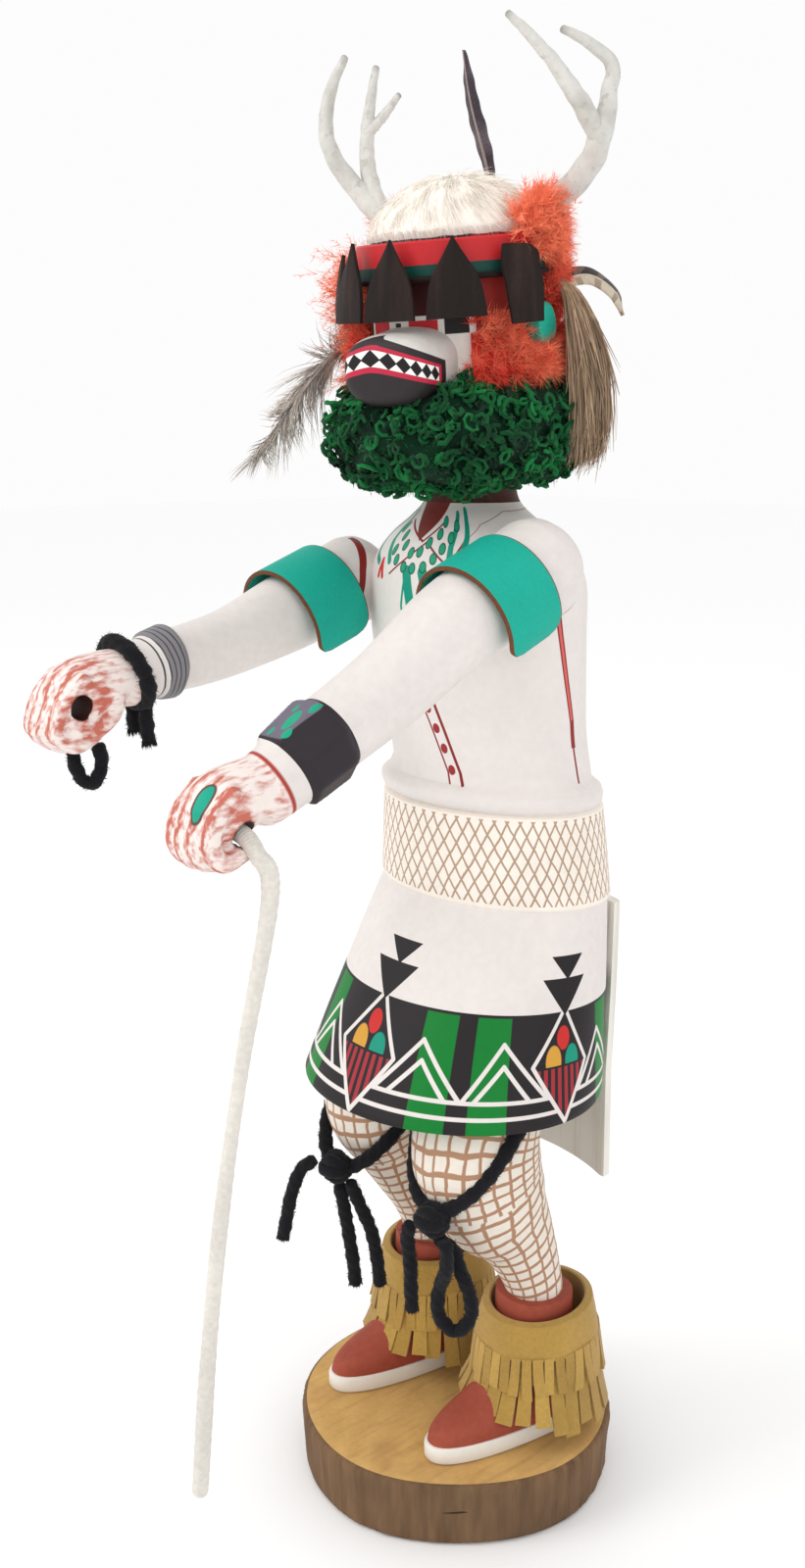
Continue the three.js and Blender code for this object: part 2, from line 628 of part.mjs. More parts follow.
// Red feathers: a collar that lies on the ruff and a tuft behind each end of the visor
function collarShape(grow) {
  const from = 0.72;
  const low = ruffTop - 1;
  const rings = [];
  for (let i = 0; i <= 16; i++) {
    const a = mix(from, 2 * PI - from, i / 16);
    const wave = 1 + 0.06 * sin(9 * a);
    rings.push([[headRadius - 1, low - 2 - grow], [headRadius + collarReach * wave + grow, low - 1 - grow],
      [headRadius + collarReach * 0.9 * wave + grow, low + 2.5], [headRadius + 2.4 + grow, low + collarHeight + grow],
      [headRadius - 1, low + collarHeight + grow],
    ].map(([r, z]) => new THREE.Vector3(r * sin(a), -r * cos(a), z)));
  }
  return onHead(loft(rings));
}

function tuftShape(side, grow) {
  const low = ruffTop + collarHeight - 1 + 2 * gap;
  const rings = [];
  for (let i = 0; i <= 5; i++) {
    const a = sideSign[side] * mix(1.82, 2.75, i / 5);
    const rise = tuftHeight * (0.72 + 0.28 * sin((PI * (i + 1)) / 6));
    const wave = tuftThickness * (1 + 0.2 * sin(i * 2.3));
    rings.push([[headRadius - 6, low - grow], [headRadius + wave * 0.7 + grow, low - grow],
      [headRadius + wave + grow, low + rise * 0.55], [headRadius + wave * 0.8 + grow, low + rise + grow],
      [headRadius - 6, low + rise + grow],
    ].map(([r, z]) => new THREE.Vector3(r * sin(a), -r * cos(a), z)));
  }
  return onHead(loft(rings));
}

// Feather bundles at the ears: [x, y, z, half width, half thickness] in the head frame
const earBundles = {
  left: [[28, 8, 39, 2.2, 1.4], [31.5, 9.5, 33, 4.4, 2.2], [35.5, 8.5, 22, 5.8, 2.6], [38, 6, 9, 5.6, 2.6],
    [38, 3.6, -3, 4, 2.2], [36.5, 2.4, -9, 2, 1.4]],
  right: [[-30, -1, 29, 1.6, 1.2], [-35, -8, 24.5, 3.4, 1.5], [-41, -14.5, 18, 4.6, 1.6], [-48, -21, 8, 4.4, 1.5],
    [-55, -26.5, -4, 2, 1.1]],
};

function bundleShape(side, grow) {
  const knots = earBundles[side].map(([x, y, z, ...sizes]) => headKnot(x, y, z, ...sizes));
  return limb(knots, 8, 8, grow, acrossY, 0.7);
}

function curlShape() {
  const knots = [[12, 25.5, 33, 2.2, 0.8], [15, 31, 38, 3, 0.9], [19.5, 38.5, 39, 3.4, 0.9], [24.5, 43.5, 34, 3.2, 0.9],
    [26.5, 45, 27.5, 2, 0.8]].map(([x, y, z, ...sizes]) => headKnot(x, y, z, ...sizes));
  return limb(knots, 8, 6, 0, acrossX, 0.7);
}

// Armbands, open cuffs that stand off the upper arm
function armbandShape(side) {
  const knots = armKnots[side].map((knot) => armKnot(side, knot));
  const path = new THREE.CatmullRomCurve3(knots.map((k) => new THREE.Vector3(k[0], k[1], k[2])), false, 'catmullrom');
  const t = (side === 'left' ? 1.12 : 1.4) / (knots.length - 1);
  const inner = upperArmRadius + armbandSlack;
  const ring = arcBand(
    inner, inner + armbandThickness, armbandOpening / 2, 2 * PI - armbandOpening / 2, -armbandWidth / 2,
    armbandWidth, 20,
  );
  const along = path.getTangent(t);
  const tilt = Math.atan2(-along.z, -along.y);
  ring.rotateX(PI / 2 + tilt);
  const centre = path.getPoint(t).addScaledVector(up, gap - armbandSlack);
  return ring.translate(centre.x, centre.y, centre.z);
}

// Cane: through the left fist, then bent down beside it
function caneShape(grow) {
  const [holeY, holeZ] = holePlace.left;
  const { x, y, z } = new THREE.Vector3(0, holeY, holeZ).applyMatrix4(handFrame('left'));
  const bend = [x + fistHalfWidth + 3.4, y + 3, z - 14.5];
  const foot = [bend[0] - 23, bend[1] - 9, bend[2] - caneLength];
  const knots = [[x - fistHalfWidth * 0.6, y, z, caneRadius * 1.1], [x + fistHalfWidth * 0.6, y, z, caneRadius * 1.1],
    [x + fistHalfWidth + 1.8, y + 0.6, z - 4, caneRadius * 1.1], [...bend, caneRadius * 1.1],
    ...[0.25, 0.5, 0.75, 1].map((t) => [
      mix(bend[0], foot[0], t), mix(bend[1], foot[1], t) - caneBow * sin(PI * t), mix(bend[2], foot[2], t),
      caneRadius * mix(0.82, 1.1, t),
    ])];
  return limb(knots, 14, 7, grow, acrossY, 0.8);
}

// Knee ties: yarn that runs from behind the thigh down under the knee, where it is knotted. Each path is
// an ellipse about [y, share of leg height] that dips in front.
const kneeTies = {
  left: { y: -11.8, share: 1.042, dip: 31.7, halfX: kneeRadius + 0.4, halfY: kneeRadius + 2.6, knot: [3.2, -2.4, -1.2] },
  right: { y: -11, share: 0.957, dip: 25.1, halfX: kneeRadius - 1.2, halfY: kneeRadius + 1.5, knot: [2, -2.2, 1.1] },
};

function tieParts(side) {
  const { y, share, dip, halfX, halfY, knot } = kneeTies[side];
  const x = sideSign[side] * stanceHalf;
  const z = standZ + share * legHeight;
  const at = (a) => [x + halfX * sin(a), y - halfY * cos(a), z - dip * cos(a)];
  return { at, knot: at(0).map((value, i) => value + knot[i]) };
}

function tieShape(side) {
  const { at, knot } = tieParts(side);
  const knots = Array.from({ length: 11 }, (_, i) => [...at(mix(-1.6, 1.6, i / 10)), yarnRadius * 1.1]);
  const ball = new THREE.SphereGeometry(knotRadius, 7, 5).scale(1.1, 1, 0.9).translate(...knot);
  return joined(limb(knots, 16, 6, 0, up, 0.7), ball);
}

// Tails from a knot: offsets from its centre, chosen by eye
const tails = {
  yarn_tail_left: ['left', [[-4.6, -4.4, -1.6], [-6.2, -4, -6], [-6.8, -3, -11], [-7, -2, -17], [-7.2, -1.6, -24],
    [-7.4, -1, -31.8]]],
  yarn_loop_left: ['left', [[1.2, 0.8, -5.8], [3.4, 5, -10], [6, 5.9, -16.5], [8, 7.7, -24.2], [8.2, 7.9, -31.1],
    [4.6, 5.4, -36.2], [0.4, 2.9, -32.4], [-0.2, 2.6, -26], [1.6, 2.4, -20.4], [5.2, 0.6, -14.6], [6.6, -0.4, -8.6],
    [5.8, -0.8, -4]]],
  yarn_tail_right_outer: ['right', [[-5.2, -4.2, 1.9], [-8.4, -7.2, -1.6], [-10.4, -9.4, -9.4], [-11.7, -10.4, -17.4],
    [-12.5, -11.6, -25.2]]],
  yarn_tail_right_middle: ['right', [[0.8, 0.6, -5.6], [1.5, 2, -14.5], [2, 3.8, -26.2], [2.4, 4.8, -34.2],
    [2.8, 5.2, -41.2]]],
  yarn_tail_right_inner: ['right', [[4.6, 1.6, -3.8], [6, 4.4, -12], [7.4, 7.8, -21.4], [8.2, 9.4, -30.6],
    [8.7, 10.5, -40.8]]],
};

function tailShape([side, offsets]) {
  const { knot } = tieParts(side);
  const points = offsets.map(([x, y, z]) => [knot[0] + x, knot[1] + y, knot[2] + z]);
  return yarn(points, offsets.length + 2);
}

// Yarn round the right wrist with its short tails, and a loop of it under the fist. Both hang straight
// down from a place in the hand frame.
function wristTieShape() {
  const frame = handFrame('right');
  const radius = wristRadius * 0.94 + yarnRadius * 0.9;
  const ring = new THREE.TorusGeometry(radius, yarnRadius, 5, 14)
    .rotateX(PI / 2 - 0.1).translate(0, 16, -2.6).applyMatrix4(frame);
  const tail = (across, length) => {
    const root = new THREE.Vector3(across, 15.4, -radius - 2.4).applyMatrix4(frame);
    return limb([0, 0.5, 1].map((t) => [root.x, root.y + t, root.z - length * t, yarnRadius * 0.95]), 2, 5);
  };
  return joined(ring, tail(-3.4, 10), tail(3, 13));
}

function palmLoopShape() {
  const root = new THREE.Vector3(0, -2.6, -fistHalfHeight - yarnRadius).applyMatrix4(handFrame('right'));
  const knots = [[-2.6, -3, -0.6], [-2.4, -3.2, -6], [-1, -1.6, -11], [1, 0.8, -11.4], [2.2, 2.4, -6.4], [2, 1.6, -1]];
  return limb(knots.map(([x, y, z]) => [root.x + x, root.y + y, root.z + z, yarnRadius * 0.9]), 8, 6, 0, acrossX, 0.7);
}

// Back panel: a thin slab that hangs from the sash and follows the kilt
function panelShape() {
  const low = hemZ - panelDrop;
  const high = waistZ - 1.2;
  const rings = [0, 0.02, 0.38, 0.7, 1].map((share) => {
    const z = mix(low, high, share);
    const [halfX, halfY, y] = kiltSize(max(0, (z - hemZ) / kiltHeight));
    const back = (x, out) => y + (halfY + out) * sqrt(1 - (x / (halfX + 9 + out)) ** 2);
    const half = panelHalfWidth * mix(1, 0.95, share) - (share === 0 ? 0.8 : 0);
    const xs = Array.from({ length: 9 }, (_, i) => mix(-half, half, i / 8));
    return [...xs.map((x) => new THREE.Vector3(x, back(x, gap + panelThickness), z)),
      ...xs.reverse().map((x) => new THREE.Vector3(x, back(x, -1), z))];
  });
  return loft(rings);
}

// Suede cuffs: a flared wrap round each ankle whose front edge lies on the instep
function cuffShape(side) {
  const { x, y } = ankleOf(side);
  const top = standZ + moccasinHeight - 4;
  const low = top - cuffHeight;
  const outerLow = cuffTopRadius + cuffFlare;
  const middle = [mix(cuffTopRadius, outerLow, 0.6), mix(top, low, 0.6)];
  const wall = lathe([
    [outerLow - suedeThickness, low], [outerLow, low], middle, [cuffTopRadius, top],
    [cuffTopRadius - suedeThickness, top], [middle[0] - suedeThickness, middle[1]],
  ], 20, true).scale(1, 1.06, 1).translate(x, y + 1.5, 0);
  const wedge = new THREE.CylinderGeometry(cuffHeight * 0.62, cuffHeight * 0.62, 80, 12).rotateZ(PI / 2);
  wedge.scale(1, 1, 0.72).translate(x, y - outerLow - 8, low - 3);
  return cutBy(solidOf(wall), solidOf(wedge));
}

// Materials
const finishes = {
  root: [0x9c7750, 0.8], paint: [0xe9e6e0, 0.6], skin: [0xb5654f, 0.7], black: [0x2c2a2c, 0.5],
  antler: [0xd9d8ce, 0.6], feather: [0x50464e, 0.8], fur: [0xf0e8de, 0.95], red: [0xc62f33, 0.5],
  leather: [0x4b3e3a, 0.8], turquoise: [0x17a58c, 0.6], yarnGreen: [0x0f5a2e, 1], redFeather: [0xe8502f, 0.9],
  brownFeather: [0x8a7260, 0.9], stripedFeather: [0xb9ab98, 0.8], yarnBlack: [0x262326, 1],
  cane: [0xd6d2ca, 0.7], suede: [0xb99a4c, 0.95],
};
const materials = Object.fromEntries(Object.entries(finishes).map(([name, [color, roughness]]) => (
  [name, new THREE.MeshStandardMaterial({ name, color, roughness, metalness: 0 })]
)));

const figure = new THREE.Group();

function place(name, finish, shape) {
  const geometry = shape instanceof THREE.BufferGeometry ? shape : geometryOf(wholeOf(shape));
  const mesh = new THREE.Mesh(geometry, materials[finish]);
  mesh.name = name;
  figure.add(mesh);
}

const bothSides = ['left', 'right'];
const armClear = bothSides.map((side) => armShape(side, gap));
const antlerClear = bothSides.map((side) => antlerShape(side, gap));
const bundleClear = bothSides.map((side) => solidOf(bundleShape(side, gap)));
const snoutClear = solidOf(snoutShape(gap));
const capClear = solidOf(capShape(gap));
const collarClear = solidOf(collarShape(gap));
const ruffClear = solidOf(ruffShape(gap));
const visorClear = solidOf(visorShape(gap));
const crestClear = solidOf(crestShape(gap));
const caneClear = solidOf(caneShape(gap));

place('base', 'root', baseShape());
place('body', 'paint', cutBy(bodyParts(0), ...armClear));
place('snout', 'black', cutBy(solidOf(snoutShape(0)), bodyClear));
place('visor', 'red', visorShape(0));
place('visor_rod', 'leather', rodShape());
pointAngles.forEach((degrees, i) => place(`visor_point_${i + 1}`, 'leather', pointShape(degrees, i)));
place('fur_cap', 'fur', cutBy(solidOf(capShape(0)), bodyClear, ...antlerClear, crestClear));
place('crest_feather', 'feather', cutBy(solidOf(crestShape(0)), bodyClear));
place('ruff', 'yarnGreen', cutBy(solidOf(ruffShape(0)), bodyClear, snoutClear, ...armClear));
place('feather_collar', 'redFeather', cutBy(solidOf(collarShape(0)), bodyClear, ruffClear, snoutClear));
for (const side of bothSides) {
  place(`arm_${side}`, 'paint', cutBy(armShape(side, 0), caneClear));
  place(`antler_${side}`, 'antler', cutBy(antlerShape(side, 0), bodyClear));
  place(`ear_${side}`, 'turquoise', cutBy(solidOf(onHead(earShape(side))), bodyClear, collarClear, visorClear));
  place(`feather_tuft_${side}`, 'redFeather', cutBy(
    solidOf(tuftShape(side, 0)), bodyClear, capClear, visorClear, collarClear, ...antlerClear, ...bundleClear,
  ));
  place(`ear_feathers_${side}`, 'brownFeather', cutBy(solidOf(bundleShape(side, 0)), ruffClear, collarClear, ...armClear));
  place(`armband_${side}`, 'turquoise', armbandShape(side));
  place(`knee_tie_${side}`, 'yarnBlack', cutBy(tieShape(side), bodyClear));
  place(`ankle_cuff_${side}`, 'suede', cutBy(cuffShape(side), bodyClear));
}
place('curled_feather', 'stripedFeather', curlShape());
place('cane', 'cane', caneShape(0));
place('back_panel', 'paint', cutBy(solidOf(panelShape()), bodyClear));
place('wrist_tie', 'yarnBlack', cutBy(wristTieShape(), armClear[1]));
place('palm_loop', 'yarnBlack', cutBy(solidOf(palmLoopShape()), armClear[1]));
Object.entries(tails).forEach(([name, tail]) => place(name, 'yarnBlack', tailShape(tail)));

export default figure;
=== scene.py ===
import bpy
import numpy as np
from mathutils import Matrix, Vector


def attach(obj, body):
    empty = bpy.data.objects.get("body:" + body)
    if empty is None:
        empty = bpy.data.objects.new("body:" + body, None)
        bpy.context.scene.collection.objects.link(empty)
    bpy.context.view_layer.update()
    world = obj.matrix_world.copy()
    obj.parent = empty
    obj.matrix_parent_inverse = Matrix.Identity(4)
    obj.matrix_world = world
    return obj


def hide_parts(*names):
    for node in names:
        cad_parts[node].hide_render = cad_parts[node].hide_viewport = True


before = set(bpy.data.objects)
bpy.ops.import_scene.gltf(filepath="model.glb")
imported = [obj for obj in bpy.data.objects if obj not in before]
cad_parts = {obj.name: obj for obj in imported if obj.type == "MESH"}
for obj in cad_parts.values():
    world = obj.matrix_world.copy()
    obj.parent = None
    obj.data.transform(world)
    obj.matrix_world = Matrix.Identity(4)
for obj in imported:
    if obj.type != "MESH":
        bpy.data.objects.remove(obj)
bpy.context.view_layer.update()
draw = np.random.default_rng(5)
mm = 0.001
pi = np.pi
sideSign = {"left": 1, "right": -1}

figure = {
    "gap": 0.3,
    "baseRadius": 50,
    "baseHeight": 21,
    "legHeight": 111.5,
    "kiltHeight": 59.5,
    "sashHeight": 27,
    "rollHeight": 8.7,
    "torsoHeight": 80,
    "neckHeight": 19,
}
standZ = figure["baseHeight"] + figure["gap"]
hemZ = standZ + figure["legHeight"]
waistZ = hemZ + figure["kiltHeight"]
sashTopZ = waistZ + figure["sashHeight"]
torsoZ = sashTopZ + figure["rollHeight"]
neckZ = torsoZ + figure["torsoHeight"]
headZ = neckZ + figure["neckHeight"]


# Camera, floor and light

view = {"place": (0.3235, -0.3235, 0.3264), "forward": (-0.7157, 0.6634, -0.2185), "lens": 36.0}
studio = {
    "floor": (0.985, 0.985, 0.985),
    "world": (1.0, 1.0, 1.0),
    "worldStrength": 0.98,
    # place, aimed at, size, watts, colour
    "lamps": {
        "key": ((-0.55, -1.15, 1.15), (0, 0, 0.22), 0.7, 7.0, (1.0, 0.985, 0.96)),
        "fill": ((1.3, -0.6, 0.9), (0, 0, 0.2), 0.9, 3.0, (0.97, 0.98, 1.0)),
    },
}


def linkObject(name, data):
    made = bpy.data.objects.new(name, data)
    bpy.context.scene.collection.objects.link(made)
    return made


def aimed(place, back):
    return Matrix.Translation(place) @ Vector(back).to_track_quat("Z", "Y").to_matrix().to_4x4()


def makeStudio():
    camera = linkObject("camera", bpy.data.cameras.new("camera"))
    camera.matrix_world = aimed(view["place"], -Vector(view["forward"]))
    camera.data.lens = view["lens"]
    camera.data.clip_start = 0.01
    bpy.context.scene.camera = camera
    for name, (place, target, size, power, colour) in studio["lamps"].items():
        lamp = bpy.data.lights.new(name, "AREA")
        lamp.size = size
        lamp.energy = power
        lamp.color = colour
        linkObject(name, lamp).matrix_world = aimed(place, Vector(place) - Vector(target))
    world = bpy.data.worlds.new("studio")
    world.use_nodes = True
    world.node_tree.nodes["Background"].inputs["Color"].default_value = (*studio["world"], 1)
    world.node_tree.nodes["Background"].inputs["Strength"].default_value = studio["worldStrength"]
    bpy.context.scene.world = world
    bpy.context.scene.view_settings.view_transform = "Standard"
    floor = bpy.data.meshes.new("floor")
    reach = 6
    corners = [(-reach, -reach, 0), (reach, -reach, 0), (reach, reach, 0), (-reach, reach, 0)]
    floor.from_pydata(corners, [], [(0, 1, 2, 3)])
    material = bpy.data.materials.new("floorPaint")
    material.use_nodes = True
    shader = material.node_tree.nodes["Principled BSDF"]
    shader.inputs["Base Color"].default_value = (*studio["floor"], 1)
    shader.inputs["Roughness"].default_value = 0.9
    floor.materials.append(material)
    linkObject("floor", floor)


# Shapes: points, blocks of faces with a place on the painted surface for each corner, and a tone

def unit(v):
    v = np.asarray(v, float)
    return v / np.maximum(np.linalg.norm(v, axis=-1, keepdims=True), 1e-9)


def mix(a, b, t):
    return a + (b - a) * t


def curve(knots, t):
    # Smooth line through the rows of knots, at shares t of the way
    k = np.asarray(knots, float)
    k = np.vstack([2 * k[0] - k[1], k, 2 * k[-1] - k[-2]])
    place = np.clip(np.asarray(t, float), 0, 1) * (len(k) - 3)
    i = np.minimum(place.astype(int), len(k) - 4)
    w = (place - i)[..., None]
    a, b, c, d = k[i], k[i + 1], k[i + 2], k[i + 3]
    return b + 0.5 * w * (c - a + w * (2 * a - 5 * b + 4 * c - d + w * (3 * (b - c) + d - a)))


def heading(knots, t):
    # Which way the smooth line runs
    return unit(curve(knots, t + 1e-3) - curve(knots, t - 1e-3))


def distances(line):
    # How far along the line each of its points is
    return np.concatenate([[0], np.cumsum(np.linalg.norm(np.diff(line, axis=0), axis=1))])


def shapeOf(points, blocks, tone):
    points = np.asarray(points, float).reshape(-1, 3)
    tone = np.broadcast_to(np.asarray(tone, float).reshape(-1), (len(points),)).copy()
    return {"points": points, "blocks": blocks, "tone": tone}


def joined(*shapes):
    blocks = []
    start = 0
    for shape in shapes:
        blocks += [(faces + start, places, finish) for faces, places, finish in shape["blocks"]]
        start += len(shape["points"])
    points = np.concatenate([shape["points"] for shape in shapes])
    return shapeOf(points, blocks, np.concatenate([shape["tone"] for shape in shapes]))


def moved(shape, matrix):
    points = shape["points"] @ matrix[:3, :3].T + matrix[:3, 3]
    return {**shape, "points": points}


def skin(rings, u=None, v=None, caps=True, finish=0, tone=0.5):
    # A skin over a stack of rings. finish is one number, or one for each gap between rings.
    rings = np.asarray(rings, float)
    count, sides = rings.shape[:2]
    u = np.linspace(0, 1, sides + 1) if u is None else np.asarray(u, float)
    v = np.linspace(0, 1, count) if v is None else np.asarray(v, float)
    r, s = np.meshgrid(np.arange(count - 1), np.arange(sides), indexing="ij")
    after = (s + 1) % sides
    faces = np.stack([r * sides + s, r * sides + after, (r + 1) * sides + after, (r + 1) * sides + s], -1)
    flat = np.zeros_like(u[s])
    places = np.stack([
        np.stack([u[s], v[r], flat], -1), np.stack([u[s + 1], v[r], flat], -1),
        np.stack([u[s + 1], v[r + 1], flat], -1), np.stack([u[s], v[r + 1], flat], -1),
    ], -2)
    finishes = np.broadcast_to(np.asarray(finish), (count - 1,))
    points = rings.reshape(-1, 3)
    blocks = []
    for number in np.unique(finishes):
        rows = finishes == number
        blocks.append((faces[rows].reshape(-1, 4), places[rows].reshape(-1, 4, 3), int(number)))
    if caps == "ladder":
        # The ring is a front row and a back row, so its ends are closed rung by rung
        s = np.arange(sides // 2 - 1)
        for ring, turn in ((0, True), (count - 1, False)):
            quad = [ring * sides + corner for corner in (s, s + 1, sides - 2 - s, sides - 1 - s)]
            rungs = np.stack(quad[::-1] if turn else quad, -1)
            blocks.append((rungs, None, int(finishes[0 if turn else -1])))
    elif caps:
        s = np.arange(sides)
        for ring, end, turn in ((0, 0, True), (count - 1, count - 2, False)):
            centre = len(points)
            points = np.vstack([points, rings[ring].mean(0)])
            a, b = ring * sides + s, ring * sides + (s + 1) % sides
            fan = np.stack([np.full(sides, centre), *((b, a) if turn else (a, b))], -1)
            rim = np.stack([u[s], np.full(sides, v[ring]), np.zeros(sides)], -1)
            blocks.append((fan, np.repeat(rim[:, None], 3, 1), int(finishes[end])))
    made = shapeOf(points, blocks, tone)
    return outward(made) if caps else made


def outward(shape):
    # Turns the faces of a closed shape so that they face out
    p = shape["points"]
    volume = 0
    for faces, _, _ in shape["blocks"]:
        for k in range(1, faces.shape[1] - 1):
            a, b, c = p[faces[:, 0]], p[faces[:, k]], p[faces[:, k + 1]]
            volume += np.einsum("ij,ij->", a, np.cross(b, c))
    if volume > 0:
        return shape
    blocks = [(faces[:, ::-1], None if places is None else places[:, ::-1], finish)
              for faces, places, finish in shape["blocks"]]
    return {**shape, "blocks": blocks}


def levelRing(x, y, z, halfX, halfY, sides, power=2):
    # Its first point is behind, and it runs by way of -X to the front
    a = circle(sides)
    c = np.sign(np.sin(a)) * np.abs(np.sin(a)) ** (2 / power)
    d = np.sign(np.cos(a)) * np.abs(np.cos(a)) ** (2 / power)
    return np.stack([x + halfX * c, y - halfY * d, np.full(sides, float(z))], -1)


def circle(sides):
    return np.linspace(-pi, pi, sides, endpoint=False)


def between(one, other, turn):
    # The way that is turned from one way towards the other
    return np.cos(turn)[..., None] * one + np.sin(turn)[..., None] * other


def around(sides):
    return np.linspace(-pi, pi, sides + 1)


def limb(knots, steps, sides, side=(1, 0, 0), endRound=0.8, finish=0, knurl=None):
    # A round-ended limb through knots [x, y, z, halfWidth, halfHeight]. Its width lies along side.
    knots = np.array([[*k, *[k[3]] * (5 - len(k))] for k in knots], float)
    t = np.linspace(0, 1, steps + 1)
    domes = 4
    bend = np.linspace(1.5, 0, domes, endpoint=False)
    t = np.concatenate([np.zeros(domes), t, np.ones(domes)])
    still = np.zeros(steps + 1)
    shift = np.concatenate([-np.sin(bend), still, np.sin(bend[::-1])])
    share = np.concatenate([np.cos(bend), still + 1, np.cos(bend[::-1])])
    rows = curve(knots, t)
    ahead = heading(knots[:, :3], t)
    high = unit(np.cross(ahead, side))
    wide = np.cross(high, ahead)
    centre = rows[:, :3] + ahead * (shift * np.minimum(rows[:, 3], rows[:, 4]) * endRound)[:, None]
    a = pi / 2 - circle(sides)
    swell = np.ones((len(t), sides)) if knurl is None else knurl(t[:, None], a[None])
    halfWidth = (rows[:, 3] * share)[:, None] * np.cos(a) * swell
    halfHeight = (rows[:, 4] * share)[:, None] * np.sin(a) * swell
    rings = centre[:, None] + wide[:, None] * halfWidth[..., None] + high[:, None] * halfHeight[..., None]
    return skin(rings, around(sides), distances(centre), finish=finish)


def walls(rows, sides):
    # The faces between rows of points that run round a stack
    k = np.arange(sides)
    after = (k + 1) % sides
    return [np.stack([r * sides + k, r * sides + after, (r + 1) * sides + after, (r + 1) * sides + k], -1)
            for r in range(rows - 1)]


def repeated(count, each, lift, parts):
    # The same faces for each of many like shapes
    start = (np.arange(count) * each)[:, None, None]
    return [((local[None] + start).reshape(-1, local.shape[-1]), np.tile(lift[local], (count, 1, 1)), 0)
            for local in parts]


def spikes(roots, ways, reach, radius, droop, tone, steps, curl=0.0):
    # Many tapering hairs at once, each a closed spike with its own droop
    count = len(roots)
    ways = unit(ways)
    helper = unit(np.cross(ways, draw.normal(size=(count, 3))))
    other = np.cross(ways, helper)
    s = np.arange(steps + 1) / steps
    turn = draw.uniform(0, 2 * pi, count)[:, None] + s[None] * 5
    line = roots[:, None] + ways[:, None] * (reach[:, None] * s)[..., None]
    line = line + droop[:, None] * (s**2)[None, :, None]
    sway = (curl * reach)[:, None, None] * s[None, :, None]
    line = line + sway * between(helper[:, None], other[:, None], turn)
    sides = 3
    a = 2 * pi * np.arange(sides) / sides
    spread = between(helper[:, None, None], other[:, None, None], a)
    thick = radius[:, None] * (1 - s[:-1]) ** 0.5
    rings = line[:, :-1, None] + thick[..., None, None] * spread
    each = steps * sides + 1
    points = np.concatenate([rings.reshape(count, -1, 3), line[:, -1:]], 1)
    k = np.arange(sides)
    share = np.append(np.repeat(s[:-1], sides), 1.0)
    lift = np.stack([np.zeros(each), share, np.zeros(each)], -1)
    last = (steps - 1) * sides
    tip = np.stack([last + k, last + (k + 1) % sides, np.full(sides, each - 1)], -1)
    rows = walls(steps, sides)
    parts = ([np.concatenate(rows)] if rows else []) + [tip, k[::-1][None]]
    return shapeOf(points, repeated(count, each, lift, parts), np.repeat(tone, each))


def tubes(lines, radius, flat, tone, sides):
    # Many tubes at once. lines is tube, point, xyz, and flat is a direction off each tube's plane.
    lines = np.asarray(lines, float)
    count, long = lines.shape[:2]
    ahead = unit(np.gradient(lines, axis=1))
    helper = unit(np.cross(ahead, np.asarray(flat, float)[:, None]))
    other = np.cross(ahead, helper)
    a = 2 * pi * np.arange(sides) / sides
    spread = between(helper[:, :, None], other[:, :, None], a)
    radius = np.broadcast_to(np.asarray(radius, float), (count, long))
    rings = lines[:, :, None] + radius[..., None, None] * spread
    each = long * sides
    k = np.arange(sides)
    lift = np.stack([np.tile(a, long), np.repeat(np.linspace(0, 1, long), sides), np.zeros(each)], -1)
    parts = (np.concatenate(walls(long, sides)), k[::-1][None], (each - sides + k)[None])
    return shapeOf(rings.reshape(-1, 3), repeated(count, each, lift, parts), np.repeat(tone, each))


def meshOf(name, shape):
    mesh = bpy.data.meshes.new(name)
    faces = [face for block, _, _ in shape["blocks"] for face in block.tolist()]
    mesh.from_pydata((shape["points"] * mm).tolist(), [], faces)
    return mesh


def quill(line, thick, thin, flat, tone):
    radius = np.interp(np.linspace(0, 1, len(line)), [0, 1], [thick, thin])
    return tubes(line[None], radius[None], [flat], [tone], sides=8)


def makePiece(name, shape, materials, nodes, sharp=40):
    mesh = meshOf(name, shape)
    corners = [np.zeros((*faces.shape, 3)) if places is None else places
               for faces, places, _ in shape["blocks"]]
    corners = np.concatenate([c.reshape(-1, 3) for c in corners])
    mesh.attributes.new("painted", "FLOAT_VECTOR", "CORNER").data.foreach_set("vector", corners.ravel())
    mesh.attributes.new("tone", "FLOAT", "POINT").data.foreach_set("value", shape["tone"])
    finishes = np.concatenate([np.full(len(block), finish) for block, _, finish in shape["blocks"]])
    mesh.polygons.foreach_set("material_index", finishes.astype(np.int32))
    return dressPiece(linkObject(name, mesh), materials, nodes, sharp)


def dressPiece(piece, materials, nodes, sharp):
    # The numbers of the faces' finishes come back after the list of materials is made new
    numbers = np.zeros(len(piece.data.polygons), np.int32)
    piece.data.polygons.foreach_get("material_index", numbers)
    piece.data.materials.clear()
    for material in materials if isinstance(materials, (list, tuple)) else [materials]:
        piece.data.materials.append(material)
    piece.data.polygons.foreach_set("material_index", numbers)
    piece.data.polygons.foreach_set("use_smooth", np.ones(len(piece.data.polygons), bool))
    piece.data.set_sharp_from_angle(angle=np.radians(sharp))
    piece.data.update()
    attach(piece, "root")
    if nodes:
        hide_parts(*nodes)
    return piece


# Node tools for finishes

def paint(red, green, blue):
    # A photographed colour, 0 to 255, as Blender's linear light
    c = np.array([red, green, blue]) / 255
    return (*np.where(c <= 0.04045, c / 12.92, ((c + 0.055) / 1.055) ** 2.4).tolist(), 1.0)


def feed(tree, socket, value):
    if isinstance(value, Term):
        tree.links.new(value.socket, socket)
    elif isinstance(value, bpy.types.NodeSocket):
        tree.links.new(value, socket)
    elif value is not None:
        socket.default_value = value


